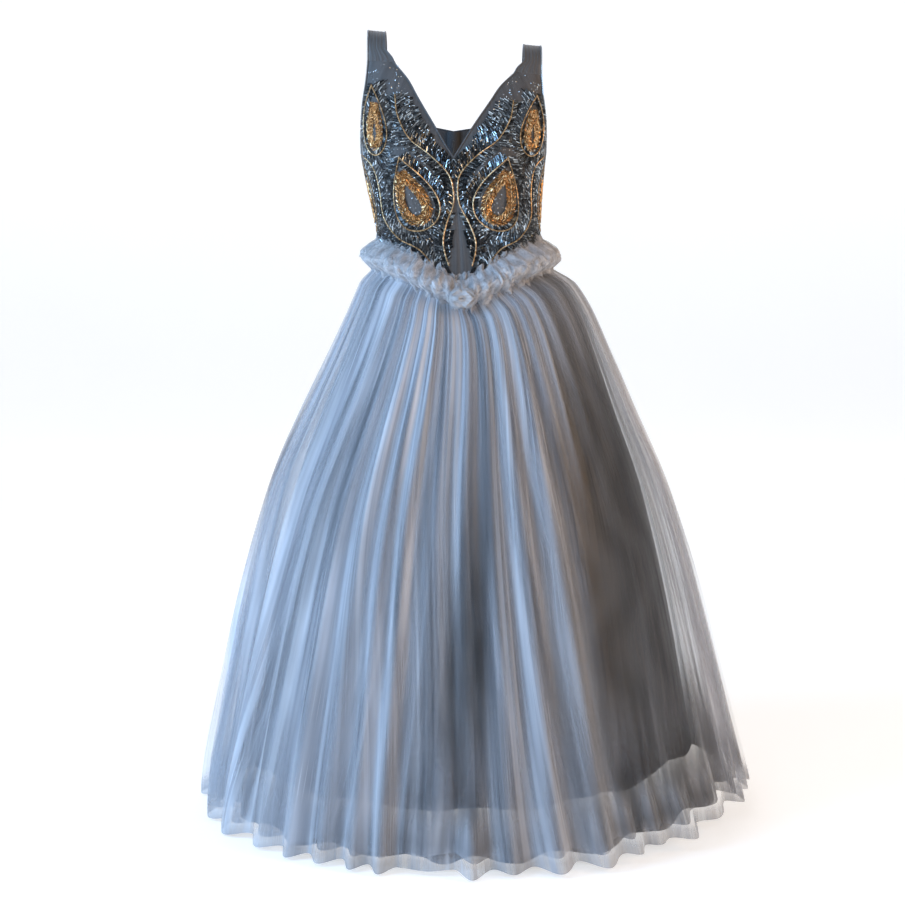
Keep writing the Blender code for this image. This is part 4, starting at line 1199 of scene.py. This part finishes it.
def roundShape(radius):
    # A small round bead of 24 triangles.
    turn = np.arange(6) * math.tau / 6
    rings = [radius * np.stack([0.87 * np.cos(turn + o), 0.87 * np.sin(turn + o), z + 0 * turn], -1)
             for o, z in ((0, -0.5), (math.pi / 6, 0.5))]
    verts = np.vstack([[[0, 0, -radius]], *rings, [[0, 0, radius]]])
    faces = []
    for i in range(6):
        j = (i + 1) % 6
        faces += [(0, 1 + j, 1 + i), (1 + i, 1 + j, 7 + i), (1 + j, 7 + j, 7 + i), (13, 7 + i, 7 + j)]
    return verts, np.array(faces)


def sequinShape(radius):
    # A cupped sequin of 12 triangles, six on each face.
    turn = np.arange(6) * math.tau / 6
    rim = np.stack([radius * np.cos(turn), radius * np.sin(turn), 0 * turn], -1)
    verts = np.vstack([rim, [[0, 0, radius * 0.25]], [[0, 0, radius * 0.05]]])
    faces = []
    for i in range(6):
        j = (i + 1) % 6
        faces += [(i, j, 6), (j, i, 7)]
    return verts, np.array(faces)


def joinShapes(name, spots, axes, shape, material, tonesAndGlints, slot="bodice_net"):
    # Many copies of a small shape in one mesh, each with its own place, axes and tone, partly a painted
    # glint.
    verts, faces = shape
    placed = spots[:, None, :] + np.einsum("vk,nkc->nvc", verts, axes)
    allFaces = faces[None] + (np.arange(len(spots)) * len(verts))[:, None, None]
    piece = meshFromArrays(name, placed.reshape(-1, 3), allFaces.reshape(-1, 3), material, smooth=False)
    addMask(piece, "tone", np.repeat(tonesAndGlints, len(verts)))
    place(piece, slot)


def toneAndGlintOf(count, darkShare, power):
    # The pale tones are partly the beads' own and partly painted glints.
    tonesAndGlints = chance.random(count) ** power
    return np.where(chance.random(count) < darkShare, tonesAndGlints * 0.12, tonesAndGlints)


def beadsOn(name, beads, shape, material, higher=0.0):
    # Joined beads of one shape on both halves of the bodice, aimed along its surface.
    look = beadLooks[name]
    tonesAndGlints = toneAndGlintOf(len(beads), look["dark"], look["rare"])
    beads = np.vstack([beads, beads * [-1, 1, -1, 1]])
    count = len(beads)
    lifts = np.tile(np.broadcast_to(look["lift"] + higher, count // 2), 2)
    here, east, north, out = onBodice(beads[:, 0], beads[:, 1], lifts)
    ahead = east * beads[:, 2:3] + north * beads[:, 3:]
    lean = chance.normal(0, 1, (count, 2)) * look["tilts"]
    out = unit(out + east * lean[:, :1] + north * lean[:, 1:])
    ahead = unit(ahead - out * np.sum(ahead * out, axis=1, keepdims=True))
    scale = 1 + chance.uniform(-1, 1, count) * look["sizes"]
    axes = np.stack([ahead, np.cross(out, ahead), out], 1) * scale[:, None, None]
    joinShapes(name, here, axes, shape, material, np.tile(tonesAndGlints, 2))


def beaded(points):
    return points[~plainNet(points[:, 0], points[:, 1]) & (points[:, 0] > 0.0005)]


beadsOn("bugle_beads", bugles, prismShape(4, beadMake["bugleRadius"], beadMake["bugleLong"]), bugleGlass)
cordBeads = beaded(np.vstack([np.hstack([c, lineFrame(c)[0]]) for c in cords]))
beadsOn("gold_cord_beads", cordBeads, roundShape(beadMake["cordRadius"]), goldBead)


def ringBugles():
    # Short gold bugles fanned across each ring, in rows that overlap like scales.
    made = []
    for loop, wide in ringLoops:
        ahead, across = lineFrame(loop)
        rows = np.arange(-wide / 2 + beadMake["ringEdge"], wide / 2, beadMake["ringStep"])
        for i, shift in enumerate(rows):
            aim = unit(across * math.cos(0.5 * i) + ahead * 0.7)
            uneven = chance.normal(0, beadMake["ringUneven"], loop.shape)
            made.append(np.hstack([loop + across * shift + uneven, aim]))
    return beaded(np.vstack(made))


golds = ringBugles()
beadsOn("gold_bugles", golds, prismShape(4, beadMake["goldRadius"], beadMake["goldLong"]), goldSequin,
        chance.uniform(0, 0.0020, len(golds)))

tips = bugles[chance.random(len(bugles)) < beadMake["tipShare"]]
tipSpots = tips[:, :2] + tips[:, 2:] * beadMake["bugleLong"] * beadMake["tipAway"]
tips = beaded(np.hstack([tipSpots, tips[:, 2:]]))
beadsOn("crystal_beads", tips, roundShape(beadMake["tipRadius"]), crystal)


def sparkles(count):
    # Tiny sequins scattered over the plain net between the motifs and up the yoke.
    spots = np.stack([chance.uniform(0, 0.44, count), chance.uniform(1.01, 1.40, count)], -1)
    angle = throughArcs(spots[:, 0], spots[:, 1], True)
    belowYoke = np.minimum(spots[:, 1], beadMake["yokeTop"] - 0.001)
    keep = (spots[:, 0] < beadMake["sequinReach"]) & ~plainNet(spots[:, 0], belowYoke)
    return spots[keep & (spots[:, 1] > waistHeight(angle) + beadMake["aboveBand"])]


glitter = sparkles(beadMake["sequins"])
glitter = np.hstack([glitter, chance.normal(0, 1, glitter.shape)])
beadsOn("net_sparkles", glitter, sequinShape(beadMake["sequinRadius"]), crystal)


def alongPath(name, path, spacing, shape, material, lift, turned=0.0, slot="bodice_net"):
    # Beads or stitches strung along a path in space, standing off the body's upright axis.
    steps = np.linalg.norm(np.diff(path, axis=0), axis=1)
    length = np.concatenate([[0], np.cumsum(steps)])
    at = np.arange(spacing / 2, length[-1], spacing)
    here = np.stack([np.interp(at, length, path[:, k]) for k in range(3)], -1)
    ahead = unit(np.gradient(here, axis=0))
    out = unit(here * [1, 1, 0] - ahead * np.sum(here * [1, 1, 0] * ahead, axis=1, keepdims=True))
    beside = np.cross(out, ahead)
    c, s = math.cos(turned), math.sin(turned)
    axes = np.stack([ahead * c + beside * s, beside * c - ahead * s, out], 1)
    joinShapes(name, here + out * lift, axes, shape, material, chance.random(len(here)), slot)


seamWork = {
    "stitchLong": 0.0026, "stitchRadius": 0.00028, "stitchStep": 0.0042, "stitchLift": 0.0004,
    "besideSeam": 0.022, "besideZip": 0.075, "beadRadius": 0.0014, "beadStep": 0.0034, "beadLift": 0.0016,
    "toothLong": 0.0024, "toothRadius": 0.00045, "toothStep": 0.0016, "toothAside": 0.0008,
    "toothDeeper": 0.0016, "zipTop": 1.274, "points": 80, "lanePoints": 120,
}
stitchShape = prismShape(4, seamWork["stitchRadius"], seamWork["stitchLong"])
toothShape = prismShape(4, seamWork["toothRadius"], seamWork["toothLong"])


def stitchLine(name, angle, height):
    path = bodicePoint(angle, height)
    alongPath(name, path, seamWork["stitchStep"], stitchShape, edgeNet, seamWork["stitchLift"])


for side, sideName in sides.items():
    alongPath(f"armhole_beads_{sideName}", armholePath(side), seamWork["beadStep"],
              roundShape(seamWork["beadRadius"]), crystal, seamWork["beadLift"])
    height = np.linspace(gown["waistSide"] - 0.004, gown["armholeCorner"] - 0.004, seamWork["points"])
    for seamName, seam in (("front", frontSeam), ("back", backSeam)):
        angle = side * (seamAngle(seam, height) + seamWork["besideSeam"])
        stitchLine(f"stitches_{seamName}_{sideName}", angle, height)
    height = np.linspace(gown["waistSide"] + 0.024, gown["backNeck"] - 0.003, seamWork["points"])
    stitchLine(f"zip_stitches_{sideName}", side * (math.pi - seamWork["besideZip"]), height)
    height = np.linspace(zipMake["end"] + 0.004, seamWork["zipTop"], seamWork["lanePoints"])
    aside = 0 * height - side * seamWork["toothAside"]
    lane = zipPoint(aside, height, 0 * height + seamWork["toothDeeper"])
    alongPath(f"zip_teeth_{sideName}", lane, seamWork["toothStep"], toothShape, zipMetal, 0.0,
              math.pi / 2, "zip_metal")
print("beadwork, stitches and teeth made")

for name in ("zip_slider", "zip_pull"):
    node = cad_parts[name]
    node.data.materials.clear()
    node.data.materials.append(zipMetal)


# The stage: a pale sweep, soft cool light from the left and warm light from the right.
sweepMake = {
    "halfWide": 8.0, "near": -7.0, "far": 5.5, "curve": 1.5, "tall": 7.0, "below": 0.001, "glow": 0.55,
}


def paleSweep():
    values = {"Roughness": 0.9, "Specular IOR Level": 0.1, "Emission Strength": sweepMake["glow"],
              "Emission Color": (1.0, 1.0, 1.0, 1.0)}
    material, tree, shader = newMaterial("paleSweep", values)
    grain = noiseNode(tree, objectSpace(tree), 2.0)
    tone = mixColours(tree, grain, (0.80, 0.80, 0.80), (0.84, 0.84, 0.84))
    tree.links.new(tone, shader.inputs["Base Color"])
    material.cycles.emission_sampling = "NONE"
    floor, curve = -gown["shoulder"] - sweepMake["below"], sweepMake["curve"]
    turn = np.linspace(0, math.pi / 2, 25)
    far = sweepMake["far"]
    y = np.concatenate([[sweepMake["near"]], far + curve * np.sin(turn), [far + curve]])
    z = np.concatenate([[floor], floor + curve * (1 - np.cos(turn)), [floor + sweepMake["tall"]]])
    x = np.array([-sweepMake["halfWide"], sweepMake["halfWide"]])
    grid = np.stack([np.repeat(x[:, None], len(y), 1), np.tile(y, (2, 1)), np.tile(z, (2, 1))], -1)
    clothGrid("pale_sweep", grid, material, grid[..., :2])


def areaLight(name, spot, target, size, power, colour):
    light = bpy.data.lights.new(name, "AREA")
    light.shape = "RECTANGLE"
    light.size, light.size_y = size
    light.energy = power
    light.color = colour
    lamp = bpy.data.objects.new(name, light)
    lamp.location = spot
    aim = Vector(target) - Vector(spot)
    lamp.rotation_euler = aim.to_track_quat("-Z", "Y").to_euler()
    bpy.context.scene.collection.objects.link(lamp)


paleSweep()
areaLight("cool_left", (-3.4, -1.9, 0.6), (0, 0, -0.7), (2.2, 2.6), 165, (0.36, 0.64, 1.0))
areaLight("warm_right", (3.4, -1.6, 0.9), (0, 0, -0.7), (1.6, 2.2), 58, (1.0, 0.60, 0.28))
areaLight("front_top", (-1.4, -3.4, 2.4), (0, 0, -0.5), (2.2, 1.6), 38, (0.72, 0.84, 1.0))
areaLight("back_top", (0.0, 3.4, 2.4), (0, 0, -0.6), (2.4, 1.2), 20, (0.95, 0.97, 1.0))

scene = bpy.context.scene
world = bpy.data.worlds.new("studio")
world.use_nodes = True
sky = world.node_tree.nodes["Background"]
sky.inputs["Color"].default_value = (0.95, 0.97, 1.0, 1.0)
# Where the sweep ends the backdrop is still pale, though the sky lights the gown only softly.
skyMake = {"light": 0.22, "seenMore": 0.75}
seen = addNode(world.node_tree, "LightPath", "Is Camera Ray")
strength = mathNode(world.node_tree, "MULTIPLY_ADD", seen, skyMake["seenMore"], skyMake["light"])
world.node_tree.links.new(strength, sky.inputs["Strength"])
scene.world = world
scene.view_settings.view_transform = "Standard"
scene.cycles.transparent_max_bounces = 14
scene.cycles.use_light_tree = False

view = {"lens": 87.5, "distance": 4.2, "height": 1.2, "pitch": 7.1, "aside": -0.004}
camera = bpy.data.cameras.new("camera")
camera.lens = view["lens"]
camera.sensor_width = 36
camera.sensor_fit = "HORIZONTAL"
eye = bpy.data.objects.new("camera", camera)
eye.location = (view["aside"], -view["distance"], view["height"] - gown["shoulder"])
eye.rotation_euler = (math.radians(90 - view["pitch"]), 0, 0)
scene.collection.objects.link(eye)
scene.camera = eye
